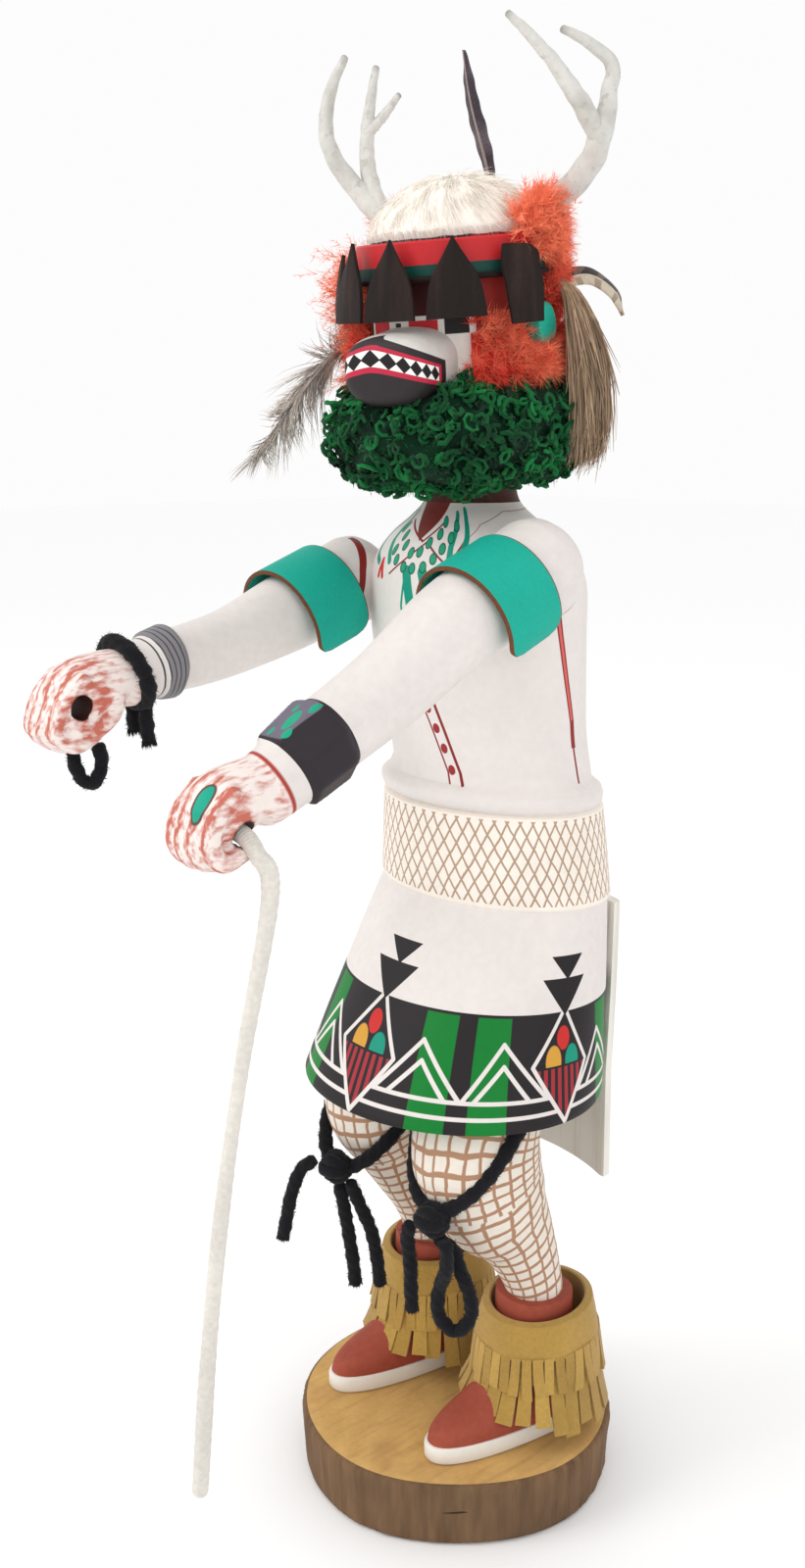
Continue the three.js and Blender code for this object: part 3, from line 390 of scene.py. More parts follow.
class Term:
    # A number in a node tree, so that a pattern reads as plain arithmetic
    def __init__(self, tree, socket):
        self.tree = tree
        self.socket = socket

    def math(self, operation, *values, clamp=False):
        node = self.tree.nodes.new("ShaderNodeMath")
        node.operation = operation
        node.use_clamp = clamp
        for socket, value in zip(node.inputs, values):
            feed(self.tree, socket, value)
        return Term(self.tree, node.outputs[0])

    def __add__(self, other):
        return self.math("ADD", self, other)

    def __sub__(self, other):
        return self.math("SUBTRACT", self, other)

    def __mul__(self, other):
        return self.math("MULTIPLY", self, other)

    def __truediv__(self, other):
        return self.math("DIVIDE", self, other)

    def __rsub__(self, other):
        return self.math("SUBTRACT", other, self)

    def __abs__(self):
        return self.math("ABSOLUTE", self)

    def below(self, edge, soft=0.12):
        # 1 where this is under the edge, fading over soft
        return self.math("DIVIDE", self.math("SUBTRACT", edge, self), soft, clamp=True)

    def above(self, edge, soft=0.12):
        return self.math("DIVIDE", self - edge, soft, clamp=True)

    def within(self, low, high, soft=0.12):
        return self.above(low, soft).least(self.below(high, soft))

    def least(self, other):
        return self.math("MINIMUM", self, other)

    def most(self, other):
        return self.math("MAXIMUM", self, other)

    def part(self):
        return self.math("FRACT", self)

    def wave(self):
        return self.math("SINE", self)


def newGroup(name, inputs, outputs):
    tree = bpy.data.node_groups.new(name, "ShaderNodeTree")
    for label, kind, value in inputs:
        socket = tree.interface.new_socket(label, in_out="INPUT", socket_type=kind)
        socket.default_value = value
    for label, kind in outputs:
        tree.interface.new_socket(label, in_out="OUTPUT", socket_type=kind)
    return tree, tree.nodes.new("NodeGroupInput"), tree.nodes.new("NodeGroupOutput")


def vectorMath(tree, operation, a, b, output="Vector"):
    node = tree.nodes.new("ShaderNodeVectorMath")
    node.operation = operation
    feed(tree, node.inputs[0], a)
    feed(tree, node.inputs[3 if operation == "SCALE" else 1], b)
    return node.outputs[output]


def makeMottle():
    # Uneven colour and a fine relief, drawn out along Stretch
    tree, given, made = newGroup("mottle", [
        ("Color", "NodeSocketColor", (0.8, 0.8, 0.8, 1)), ("Vary", "NodeSocketFloat", 0.15),
        ("Scale", "NodeSocketFloat", 300.0), ("Stretch", "NodeSocketVector", (1, 1, 1)),
    ], [("Color", "NodeSocketColor"), ("Height", "NodeSocketFloat")])
    where = tree.nodes.new("ShaderNodeTexCoord").outputs["Object"]
    place = vectorMath(tree, "MULTIPLY", where, given.outputs["Stretch"])
    fine = tree.nodes.new("ShaderNodeTexNoise")
    fine.inputs["Detail"].default_value = 4
    feed(tree, fine.inputs["Vector"], place)
    feed(tree, fine.inputs["Scale"], given.outputs["Scale"])
    broad = tree.nodes.new("ShaderNodeTexNoise")
    broad.inputs["Detail"].default_value = 2
    feed(tree, broad.inputs["Vector"], where)
    broad.inputs["Scale"].default_value = 45
    both = Term(tree, fine.outputs[0]) + Term(tree, broad.outputs[0])
    tint = tree.nodes.new("ShaderNodeHueSaturation")
    feed(tree, tint.inputs["Value"], (both - 1.0) * Term(tree, given.outputs["Vary"]) * 2.0 + 1.0)
    feed(tree, tint.inputs["Color"], given.outputs["Color"])
    feed(tree, made.inputs["Color"], tint.outputs["Color"])
    feed(tree, made.inputs["Height"], fine.outputs[0])
    return tree


def makeStroke():
    # A painted line between two places
    tree, given, made = newGroup("stroke", [
        ("Place", "NodeSocketVector", (0, 0, 0)), ("From", "NodeSocketVector", (0, 0, 0)),
        ("To", "NodeSocketVector", (1, 0, 0)), ("Width", "NodeSocketFloat", 1.0),
    ], [("Mask", "NodeSocketFloat")])
    run = vectorMath(tree, "SUBTRACT", given.outputs["To"], given.outputs["From"])
    off = vectorMath(tree, "SUBTRACT", given.outputs["Place"], given.outputs["From"])
    reach = Term(tree, vectorMath(tree, "DOT_PRODUCT", off, run, "Value"))
    whole = Term(tree, vectorMath(tree, "DOT_PRODUCT", run, run, "Value"))
    share = reach.math("DIVIDE", reach, whole, clamp=True)
    nearest = vectorMath(tree, "SCALE", run, share)
    away = Term(tree, vectorMath(tree, "DISTANCE", off, nearest, "Value"))
    feed(tree, made.inputs["Mask"], away.below(Term(tree, given.outputs["Width"]) * 0.5 + 0.06))
    return tree


def makeDab():
    # A painted oval
    tree, given, made = newGroup("dab", [
        ("Place", "NodeSocketVector", (0, 0, 0)), ("Centre", "NodeSocketVector", (0, 0, 0)),
        ("Half", "NodeSocketVector", (1, 1, 1)),
    ], [("Mask", "NodeSocketFloat")])
    off = vectorMath(tree, "SUBTRACT", given.outputs["Place"], given.outputs["Centre"])
    off = vectorMath(tree, "DIVIDE", off, given.outputs["Half"])
    away = Term(tree, vectorMath(tree, "LENGTH", off, None, "Value"))
    feed(tree, made.inputs["Mask"], away.below(1.0, 0.1))
    return tree


effects = {"mottle": makeMottle(), "stroke": makeStroke(), "dab": makeDab()}


class Finish:
    # One material while its nodes are being laid
    def __init__(self, name, roughness=0.6, sheen=0.0):
        self.material = bpy.data.materials.new(name)
        self.material.use_nodes = True
        self.tree = self.material.node_tree
        self.shader = self.tree.nodes["Principled BSDF"]
        self.shader.inputs["Roughness"].default_value = roughness
        self.shader.inputs["Sheen Weight"].default_value = sheen
        self.shader.inputs["Sheen Roughness"].default_value = 0.6
        self.shader.inputs["Specular IOR Level"].default_value = 0.22

    def use(self, effect, **values):
        node = self.tree.nodes.new("ShaderNodeGroup")
        node.node_tree = effects[effect]
        for label, value in values.items():
            feed(self.tree, node.inputs[label.capitalize()], value)
        return node

    def attribute(self, name):
        node = self.tree.nodes.new("ShaderNodeAttribute")
        node.attribute_name = name
        return node

    def painted(self):
        # The place on the painted surface as three numbers
        parts = self.tree.nodes.new("ShaderNodeSeparateXYZ")
        feed(self.tree, parts.inputs[0], self.attribute("painted").outputs["Vector"])
        return [Term(self.tree, socket) for socket in parts.outputs]

    def tone(self):
        return Term(self.tree, self.attribute("tone").outputs["Fac"])

    def place(self, across, up):
        both = self.tree.nodes.new("ShaderNodeCombineXYZ")
        feed(self.tree, both.inputs[0], across)
        feed(self.tree, both.inputs[1], up)
        return both.outputs[0]

    def noise(self, scale, detail=2.0, stretch=None):
        node = self.tree.nodes.new("ShaderNodeTexNoise")
        node.inputs["Scale"].default_value = scale
        node.inputs["Detail"].default_value = detail
        where = self.tree.nodes.new("ShaderNodeTexCoord").outputs["Object"]
        if stretch:
            where = vectorMath(self.tree, "MULTIPLY", where, stretch)
        feed(self.tree, node.inputs["Vector"], where)
        return Term(self.tree, node.outputs[0])

    def over(self, base, mask, colour):
        # Lays a colour over another through a mask
        node = self.tree.nodes.new("ShaderNodeMix")
        node.data_type = "RGBA"
        feed(self.tree, node.inputs[0], mask)
        feed(self.tree, node.inputs[6], base)
        feed(self.tree, node.inputs[7], colour)
        return node.outputs[2]

    def lay(self, mask, colour):
        # The next coat on the colour so far
        self.colour = self.over(self.colour, mask, colour)

    def strokes(self, place, lines, width):
        # A mask of painted lines, each a list of places
        mask = None
        for line in lines:
            for start, end in zip(line, line[1:]):
                node = self.use("stroke", place=place, to=(*end, 0), width=width)
                node.inputs["From"].default_value = (*start, 0)
                mark = Term(self.tree, node.outputs["Mask"])
                mask = mark if mask is None else mask.most(mark)
        return mask

    def dabs(self, place, ovals):
        mask = None
        for x, y, halfWidth, halfHeight in ovals:
            node = self.use("dab", place=place, centre=(x, y, 0), half=(halfWidth, halfHeight, 1))
            mark = Term(self.tree, node.outputs["Mask"])
            mask = mark if mask is None else mask.most(mark)
        return mask

    def close(self, vary=0.1, scale=400.0, stretch=(1, 1, 1), relief=0.3, depth=0.1, height=None):
        # The last coat: uneven colour and relief, depth in millimetres
        coat = self.use("mottle", color=self.colour, vary=vary, scale=scale, stretch=stretch)
        feed(self.tree, self.shader.inputs["Base Color"], coat.outputs["Color"])
        bump = self.tree.nodes.new("ShaderNodeBump")
        bump.inputs["Strength"].default_value = relief
        bump.inputs["Distance"].default_value = depth * mm
        feed(self.tree, bump.inputs["Height"], coat.outputs["Height"] if height is None else height)
        feed(self.tree, self.shader.inputs["Normal"], bump.outputs["Normal"])
        return self.material


def plain(name, colour, roughness, sheen=0.0, **last):
    made = Finish(name, roughness, sheen)
    made.colour = paint(*colour)
    return made.close(**last)


def toned(name, dark, light, roughness, sheen, **last):
    # Fibres whose colour runs from dark to light by each one's own tone
    made = Finish(name, roughness, sheen)
    made.colour = made.over(paint(*dark), made.tone(), paint(*light))
    return made.close(**last)


makeStudio()
print("stage: studio, light and camera")


# Knee ties and their yarn tails

yarn = {
    "radius": 2.2,
    "knotRadius": 4.4,
    "sides": 14,
    "plies": 3,
    "brushHairs": 70,
    "twist": 0.55,
    "plyDepth": 0.16,
    "fuzz": 11,
    "fuzzReach": 1.3,
}
kneeRadius = 18.5
stanceHalf = 22
kneeTies = {
    "left": {"y": -11.8, "share": 1.042, "dip": 31.7, "halfX": kneeRadius + 0.4,
             "halfY": kneeRadius + 2.6, "knot": (3.2, -2.4, -1.2)},
    "right": {"y": -11, "share": 0.957, "dip": 25.1, "halfX": kneeRadius - 1.2, "halfY": kneeRadius + 1.5,
              "knot": (2, -2.2, 1.1)},
}
# Each tail is its knot's side, the way it ends, its length and its route from the knot's centre
tails = {
    "yarn_tail_left": ("left", "bare", 0.0308, [
        (-4.6, -4.4, -1.6), (-6.2, -4, -6), (-6.8, -3, -11), (-7, -2, -17), (-7.2, -1.6, -24),
        (-7.4, -1, -31.8)]),
    "yarn_loop_left": ("left", "object", 0.073, [
        (1.2, 0.8, -5.8), (3.4, 5, -10), (6, 5.9, -16.5), (8, 7.7, -24.2), (8.2, 7.9, -31.1),
        (4.6, 5.4, -36.2), (0.4, 2.9, -32.4), (-0.2, 2.6, -26), (1.6, 2.4, -20.4), (5.2, 0.6, -14.6),
        (6.6, -0.4, -8.6), (5.8, -0.8, -4)]),
    "yarn_tail_right_outer": ("right", "bare", 0.0302, [
        (-5.2, -4.2, 1.9), (-8.4, -7.2, -1.6), (-10.4, -9.4, -9.4), (-11.7, -10.4, -17.4),
        (-12.5, -11.6, -25.2)]),
    "yarn_tail_right_middle": ("right", "bare", 0.036, [
        (0.8, 0.6, -5.6), (1.5, 2, -14.5), (2, 3.8, -26.2), (2.4, 4.8, -34.2), (2.8, 5.2, -41.2)]),
    "yarn_tail_right_inner": ("right", "bare", 0.0385, [
        (4.6, 1.6, -3.8), (6, 4.4, -12), (7.4, 7.8, -21.4), (8.2, 9.4, -30.6), (8.7, 10.5, -40.8)]),
}


def tieParts(side):
    tie = kneeTies[side]
    x = sideSign[side] * stanceHalf
    z = standZ + tie["share"] * figure["legHeight"]

    def at(a):
        a = np.asarray(a, float)
        return np.stack([x + tie["halfX"] * np.sin(a), tie["y"] - tie["halfY"] * np.cos(a),
                         z - tie["dip"] * np.cos(a)], -1)

    return at, at(0.0) + np.array(tie["knot"])


def evenly(line, step):
    # The same line with its points about one step apart
    line = np.asarray(line, float)
    gone = distances(line)
    count = max(4, int(round(gone[-1] / step)) + 1)
    want = np.linspace(0, gone[-1], count)
    return np.stack([np.interp(want, gone, line[:, k]) for k in range(3)], -1)


def yarnTube(line, radius, brush=0.0):
    # Plied yarn: ridges that wind round the line, with loose fibres
    step = 0.7
    line = evenly(line, step)
    ahead = unit(np.gradient(line, axis=0))
    side = unit(np.cross(ahead[0], (0.31, 0.9, 0.17)))
    sideways = []
    for way in ahead:
        side = unit(side - way * np.dot(side, way))
        sideways.append(side)
    sideways = np.array(sideways)
    other = np.cross(ahead, sideways)
    gone = np.arange(len(line)) * step
    sides = yarn["sides"]
    a = circle(sides)
    wind = np.abs(np.sin((a[None] + gone[:, None] * yarn["twist"]) * yarn["plies"] / 2))
    lump = 1 + 0.05 * np.sin(gone * 0.8 + line[0, 0])[:, None]
    size = radius * lump * (1 - yarn["plyDepth"] * (1 - wind) * 1.4)
    end = np.minimum(np.arange(len(line)), np.arange(len(line))[::-1])
    size = size * np.array([0.78, 0.93, 1.0])[np.minimum(end, 2)][:, None]
    rings = line[:, None] + size[..., None] * between(sideways[:, None], other[:, None], a)
    body = skin(rings, around(sides), gone, tone=0.35)
    count = int(gone[-1] * yarn["fuzz"])
    i = draw.integers(1, len(line) - 1, count)
    turn = draw.uniform(-pi, pi, count)
    out = between(sideways[i], other[i], turn)
    ways = out * 0.75 + ahead[i] * draw.uniform(-1, 1, (count, 1))
    reach = draw.uniform(0.3, 1, count) * yarn["fuzzReach"]
    hairs = spikes(line[i] + out * radius * 0.85, ways, reach, np.full(count, 0.1), out * 0,
                   draw.uniform(0.2, 1, count), steps=2)
    parts = [body, hairs]
    if brush:
        # The cut end opens into a little brush
        count = yarn["brushHairs"]
        turn = draw.uniform(-pi, pi, count)
        off = np.sqrt(draw.uniform(0, 1, count)) * radius * 0.9
        out = between(sideways[-1], other[-1], turn)
        ways = ahead[-1] + out * 0.3 * (off / radius)[:, None]
        parts.append(spikes(line[-1] - ahead[-1] * 0.8 + out * off[:, None], ways,
                            draw.uniform(0.5, 1, count) * brush, np.full(count, 0.22), out * 0,
                            draw.uniform(0.1, 0.8, count), steps=2))
    return joined(*parts)


def ball(centre, radii):
    sides = 16
    a = np.linspace(-pi / 2 + 0.12, pi / 2 - 0.12, sides // 2)
    rings = []
    for lift in a:
        ring = levelRing(0, 0, 0, np.cos(lift), np.cos(lift), sides)
        ring[:, 2] = np.sin(lift)
        rings.append(ring * np.array(radii) + np.array(centre))
    return skin(rings, around(sides), a)


yarnBlack = toned("blackYarn", (9, 9, 12), (30, 29, 34), 1.0, 0.05, vary=0.3, scale=900.0, relief=0.5)


def makeKnot(centre, radius):
    # Turns of yarn wound over each other
    turns = []
    for tilt, lean, grow in ((0.15, 0.3, 1.0), (1.25, -0.4, 0.96), (2.2, 0.55, 0.98)):
        a = np.linspace(0, 2 * pi, 30)
        loop = np.stack([np.cos(a), np.sin(a) * np.cos(tilt), np.sin(a) * np.sin(tilt)], -1)
        loop[:, 2] += lean * 0.25 * np.cos(a)
        loop = centre + loop * (radius - yarn["radius"] * 0.75) * grow * np.array([1.15, 1, 1])
        turns.append(yarnTube(loop, yarn["radius"] * 0.95))
    return joined(ball(centre, np.array([1.0, 0.85, 0.85]) * (radius - 1.4)), *turns)


def makeTies():
    for side in ("left", "right"):
        at, knot = tieParts(side)
        band = yarnTube(at(np.linspace(-1.75, 1.75, 90)), yarn["radius"] * 1.08)
        knotted = makeKnot(knot, yarn["knotRadius"] + 0.7)
        makePiece(f"kneeYarn_{side}", joined(band, knotted), yarnBlack, [f"knee_tie_{side}"])
    for name, (side, farEnd, length, offsets) in tails.items():
        _, knot = tieParts(side)
        route = curve(knot + np.array(offsets), np.linspace(0, 1, 60))
        brush = 0 if farEnd == "object" else 1.6
        tube = makePiece("plied_" + name, yarnTube(route, yarn["radius"], brush=brush), yarnBlack, [name])
        (route[0] * mm).tolist()
        (evenly(route, 1.2) * mm).tolist()


makeTies()
print("stage: knee ties and yarn tails")


# Root slice under the feet

root = {"sides": 240, "flare": 1.2, "wobble": 0.8}


def rootRadius(a, level):
    # a runs from +X
    wobble = root["wobble"] * (np.sin(3 * a + 0.6) + 0.5 * np.sin(5 * a + 2))
    return figure["baseRadius"] - root["flare"] * (1 - level) + wobble


def makeRootFinishes():
    bark = Finish("rootBark", 0.8)
    low = bark.noise(28.0, 3)
    streak = bark.noise(260.0, 5, (1, 1, 0.09))
    bark.colour = bark.over(paint(118, 90, 64), streak.above(0.42, 0.3) * 0.7, paint(78, 58, 42))
    bark.lay(low.above(0.48, 0.2) * 0.6, paint(98, 76, 56))
    barkDone = bark.close(vary=0.3, scale=500.0, stretch=(1, 1, 0.15), relief=0.6, depth=0.35,
                          height=streak.socket)
    sawn = Finish("sawnTop", 0.75)
    where = sawn.tree.nodes.new("ShaderNodeTexCoord").outputs["Object"]
    warp = sawn.noise(14.0, 2)
    parts = sawn.tree.nodes.new("ShaderNodeSeparateXYZ")
    feed(sawn.tree, parts.inputs[0], where)
    lane = (Term(sawn.tree, parts.outputs[0]) * 0.8
            + Term(sawn.tree, parts.outputs[1])) * 420.0 + warp * 34.0
    ring = lane.wave() * 0.5 + 0.5
    saw = sawn.noise(420.0, 6, (1, 0.12, 1))
    blotch = sawn.noise(32.0, 3)
    sawn.colour = sawn.over(paint(204, 164, 100), ring * 0.22, paint(176, 130, 76))
    sawn.lay(saw.above(0.52, 0.2) * 0.35, paint(150, 106, 62))
    sawn.lay(blotch.above(0.55, 0.15) * 0.55, paint(158, 116, 76))
    sawnDone = sawn.close(vary=0.12, scale=600.0, relief=0.5, depth=0.3, height=(ring * 0.4 + saw).socket)
    # The crack's dark brown is painted shade
    return [barkDone, sawnDone, plain("crackShade", (52, 34, 26), 0.9)]


def makeRootSlice():
    sides = root["sides"]
    a = circle(sides)
    height = figure["baseHeight"]
    rows = [(0, 2.2), (0.02, 1.0), (0.06, 0.3), *[(h, 0) for h in np.linspace(0.12, 0.86, 16)],
            (0.93, 0.15), (0.975, 0.6), (1, 1.5)]
    rings = []
    fibre = draw.normal(size=sides)
    fibre = (fibre + np.roll(fibre, 1) + np.roll(fibre, 2)) * 0.12
    for level, inset in rows:
        front = np.sin(a * 9 + level * 3) * 0.08 + fibre * (0.4 + 0.6 * np.sin(level * 5 + a * 4))
        radius = rootRadius(a, level) - inset + np.where(inset < 0.5, front, 0)
        rings.append(np.stack([radius * np.cos(a), radius * np.sin(a), np.full(sides, level * height)],
                              -1))
    for share in (0.93, 0.8, 0.6, 0.4, 0.2, 0.04):
        wave = 0.12 * np.sin(rings[-1][:, 0] * 0.5 * share) * (1 if share < 0.93 else 0)
        radius = (rootRadius(a, 1) - 1.5) * share
        rings.append(np.stack([radius * np.cos(a), radius * np.sin(a), height + np.minimum(wave, 0)], -1))
    finish = np.array([0] * (len(rows) - 1) + [1] * 6)
    body = skin(rings, around(sides), finish=finish)
    # The crack is a shallow slit across the front of the slice, painted dark brown as painted shade in
    # the crack
    slit = []
    for share in np.linspace(0, 1, 9):
        angle = np.radians(mix(-49, -38, share))
        deep = 0.28 * np.sin(pi * share) + 0.02
        out = rootRadius(angle, 0.6) + 0.12
        z = mix(11.9, 12.6, share)
        spot = np.array([out * np.cos(angle), out * np.sin(angle), z])
        inward = np.array([-np.cos(angle), -np.sin(angle), 0])
        slit.append([spot + [0, 0, deep], spot + inward * 1.2, spot - [0, 0, deep]])
    return makePiece("rootSlice", joined(body, skin(slit, finish=2)), makeRootFinishes(), ["base"],
                     50)


makeRootSlice()
print("stage: root slice")


# Carved body: legs, moccasins, kilt, sash, shirt, neck and mask, all one piece of wood

body = {
    "ankleRadius": 8.8,
    "footLength": 62,
    "footHalfWidth": 11,
    "footTurn": np.radians(-8),
    "soleThickness": 5.3,
    "moccasinHeight": 45,
    "footAhead": {"left": 10, "right": 9},
    "hem": (48.8, 42.8, -3.2),
    "waist": (39.7, 27.1, 14.6),
    "sashProud": 0.9,
    "chest": (36.5, 25.6, 6),
    "neckRadius": 12.8,
    "neckY": 3,
}
head = {
    "radius": 24.5,
    "height": 72,
    "turn": np.radians(10),
    "nod": np.radians(7),
    "snoutReach": 13.5,
    "snoutHalfWidth": 13.8,
    "snoutHalfHeight": 9.4,
    "snoutLevel": 21,
    "visorLevel": 42,
    "visorHeight": 9.5,
    "visorThickness": 2.4,
}
k, an = kneeRadius, body["ankleRadius"]
legKnots = {
    "left": [(-2, -5, 1.08, k * 0.92, k * 0.97), (-0.5, -13.5, 0.92, k, k * 1.05),
             (0, -12.8, 0.81, k, k * 1.05), (1, -7.2, 0.7, k * 0.87, k * 0.94),
             (2.4, 0, 0.6, an * 1.36, an * 1.46), (3.2, 6.2, 0.48, an * 1.09, an * 1.13),
             (4, 8.5, 0.38, an, an), (4, 8.5, 0.2, an, an)],
    "right": [(-2, -6, 1.08, k * 0.92, k * 0.97), (-0.5, -12, 0.97, k * 0.97, k),
              (0, -12.5, 0.87, k * 0.91, k * 0.95), (0, -7, 0.77, k * 0.79, k * 0.83),
              (0, -0.6, 0.66, an * 1.36, an * 1.48), (0, 6.2, 0.53, an * 1.11, an * 1.18),
              (0, 9.8, 0.4, an, an), (0, 10, 0.2, an, an)],
}
footSections = [(0.001, 0.975, 0.95, 0.97), (0.07, 0.95, 0.94, 0.965), (0.12, 0.89, 0.935, 0.955),
                (0.16, 0.8, 0.925, 0.945), (0.2, 0.69, 0.91, 0.935), (0.25, 0.58, 0.89, 0.925),
                (0.33, 0.48, 0.85, 0.91), (0.46, 0.4, 0.76, 0.9), (0.64, 0.33, 0.62, 0.92),
                (0.86, 0.29, 0.54, 1.05), (1, 0.28, 0.53, 1.05)]
# Numbers of the body's finishes
skinNumber = {"net": 0, "moccasin": 1, "sole": 2, "kilt": 3, "sash": 4, "shirt": 5, "neck": 6, "mask": 7}


def ankleOf(side):
    out, y = legKnots[side][-1][:2]
    return sideSign[side] * (stanceHalf + out), y


def makeLeg(side):
    knots = [(sideSign[side] * (stanceHalf + out), y, standZ + share * figure["legHeight"], w, d)
             for out, y, share, w, d in legKnots[side]]
    return limb(knots, 70, 56, finish=skinNumber["net"])


def footRing(side, z, front, back, width):
    x, y = ankleOf(side)
    ahead = (body["footLength"] / 2 + body["footAhead"][side]) * front
    behind = (body["footLength"] / 2 - body["footAhead"][side]) * back
    sides = 56
    ring = levelRing(0, 0, 0, body["footHalfWidth"] * width, 1, sides, 2.3)
    ring[:, 1] *= np.where(ring[:, 1] < 0, ahead, behind)
    c, s = np.cos(body["footTurn"]), np.sin(body["footTurn"])
    across, along = ring[:, 0], ring[:, 1]
    return np.stack([x + across * c - along * s, y + across * s + along * c, np.full(sides, z)], -1)


def makeFoot(side):
    upper = body["moccasinHeight"] - body["soleThickness"]
    top = standZ + body["soleThickness"]
    rings = [footRing(side, standZ, 0.985, 0.98, 0.97), footRing(side, standZ + 0.8, 1, 1, 1),
             footRing(side, top - 0.5, 1, 1, 1), footRing(side, top - 0.05, 0.992, 0.99, 0.985),
             footRing(side, top + 0.05, 0.975, 0.955, 0.95)]
    finish = [skinNumber["sole"]] * 4
    rows = curve(footSections, np.linspace(0.02, 1, 30))
    for share, front, back, width in rows:
        rings.append(footRing(side, top + 0.1 + share * upper, front, back, width))
        finish.append(skinNumber["moccasin"])
    return skin(rings, around(56), finish=np.array(finish))


def kiltSize(t):
    t = np.asarray(t, float)
    flare = 0.86 * t + 0.14 * t * t
    return [mix(low, high, share)
            for low, high, share in zip(body["hem"], body["waist"], (flare, flare, t))]


def makeKilt():
    shares = np.concatenate([[0, 0.004, 0.012], np.linspace(0.03, 1, 44)])
    insets = np.concatenate([[0.9, 0.3, 0.05], np.zeros(44)])
    rings = []
    for t, inset in zip(shares, insets):
        halfX, halfY, y = kiltSize(t)
        rings.append(levelRing(0, y, hemZ + t * figure["kiltHeight"], halfX - inset, halfY - inset, 128))
    return skin(rings, around(128), shares * figure["kiltHeight"], finish=skinNumber["kilt"])


def torsoRows():
    waistX, waistHalfY, waistY = body["waist"]
    topX, topY = waistX - 2.1, waistY - 1.4
    proud = body["sashProud"]
    roll = figure["rollHeight"]
    band = [(waistZ - 2, -1.2, waistY), (waistZ - 0.4, proud - 0.5, waistY),
            (waistZ + 0.2, proud, waistY),
            (mix(waistZ, sashTopZ, 0.5), proud - 0.2, mix(waistY, topY, 0.5)),
            (sashTopZ - 0.3, proud - 0.6, topY), (sashTopZ + 0.3, -0.7, topY),
            (sashTopZ + 0.8, -0.6, topY), (sashTopZ + roll * 0.2, 0.4, topY - 0.4),
            (sashTopZ + roll * 0.45, 0.9, topY - 0.8), (sashTopZ + roll * 0.65, 0.5, topY - 1.1),
            (sashTopZ + roll * 0.8, -0.9, topY - 1.3), (sashTopZ + roll * 0.9, -2.2, topY - 1.4)]
    rows = []
    for i, (z, out, y) in enumerate(band):
        wide = mix(waistX, topX, np.clip((z - waistZ) / figure["sashHeight"], 0, 1))
        rows.append((z, wide + out, waistHalfY + out - (0.6 if i > 4 else 0), y))
    chestX, chestHalfY, chestY = body["chest"]
    chest = [(0.03, 0.93, 0.95, 0.75), (0.16, 0.93, 0.95, 0.5), (0.34, 0.97, 0.98, 0.2), (0.54, 1, 1, 0),
             (0.7, 1, 1, -0.05), (0.8, 0.91, 0.93, -0.1), (0.88, 0.74, 0.78, -0.15),
             (0.94, 0.53, 0.62, -0.25)]
    upper = [(torsoZ + share * figure["torsoHeight"], chestX * wide, chestHalfY * deep,
              chestY + lean * (waistY - chestY)) for share, wide, deep, lean in chest]
    neck, neckY = body["neckRadius"], body["neckY"]
    upper += [(neckZ, neck + 0.8, neck + 0.8, neckY + 0.6),
              (neckZ + figure["neckHeight"] * 0.4, neck, neck, neckY), (headZ + 2, neck, neck, neckY - 2)]
    return np.array(rows), curve(upper, np.linspace(0, 1, 90))


def makeTorso():
    band, upper = torsoRows()
    rows = np.vstack([band, upper])
    rings = [levelRing(0, y, z, halfX, halfY, 120) for z, halfX, halfY, y in rows]
    middle = (rows[1:, 0] + rows[:-1, 0]) / 2
    finish = np.where(middle < sashTopZ + 0.2, skinNumber["sash"], skinNumber["shirt"])
    finish = np.where(middle > neckZ - 1, skinNumber["neck"], finish)
    return skin(rings, around(120), rows[:, 0] - waistZ, finish=finish)


def turnedAbout(axis, angle):
    return np.array(Matrix.Rotation(angle, 4, axis))


def shifted(place):
    made = np.eye(4)
    made[:3, 3] = place
    return made


headFrame = turnedAbout("Z", head["turn"]) @ turnedAbout("X", head["nod"])
headFrame[:3, 3] = (1.5, body["neckY"] - 3.4, headZ)
domeStart = head["height"] - head["radius"] * 0.86 - 6


def turnedWithHead(ways):
    return np.asarray(ways, float) @ headFrame[:3, :3].T


def onHead(points):
    return turnedWithHead(points) + headFrame[:3, 3]


def swept(t, section):
    # A section of radii and levels, turned by t from the front
    return [(r * np.sin(t), -r * np.cos(t), z) for r, z in section]


def levelWay(t):
    return np.stack([np.sin(t), -np.cos(t), np.zeros(len(t))], -1)


def raised(level):
    return np.array([0, 0, 1]) * level[:, None]


def makeHead():
    radius = head["radius"]
    chin = [(0.5, -6.2), (radius * 0.72, -6), (radius * 0.93, -1), (radius * 0.995, 6), (radius, 14)]
    low = curve(chin, np.linspace(0, 1, 20))
    bend = np.linspace(0, pi / 2 - 0.02, 20)
    dome = np.stack([radius * np.cos(bend), domeStart + radius * 0.86 * np.sin(bend)], -1)
    profile = np.vstack([low, [(radius, z) for z in np.linspace(15, domeStart - 0.5, 24)], dome])
    rings = [onHead(levelRing(0, 0, z, r, r, 96)) for r, z in profile]
    return skin(rings, around(96), profile[:, 1], finish=skinNumber["mask"])


bodyPaint = {name: paint(*colour) for name, colour in {
    "white": (222, 215, 211),
    "black": (34, 29, 32),
    "green": (2, 118, 42),
    "turquoise": (14, 142, 118),
    "red": (196, 44, 40),
    "darkRed": (132, 36, 34),
    "maroon": (160, 44, 54),
    "ochre": (206, 152, 58),
    "netBrown": (168, 128, 100),
    "skin": (120, 50, 44),
}.items()}


# Rings are millimetres apart, lines are counted round the leg, and the knee is millimetres down it
net = {"ring": 3.3, "lowerRing": 4.6, "lines": 25, "lowerLines": 15, "knee": 50.0}


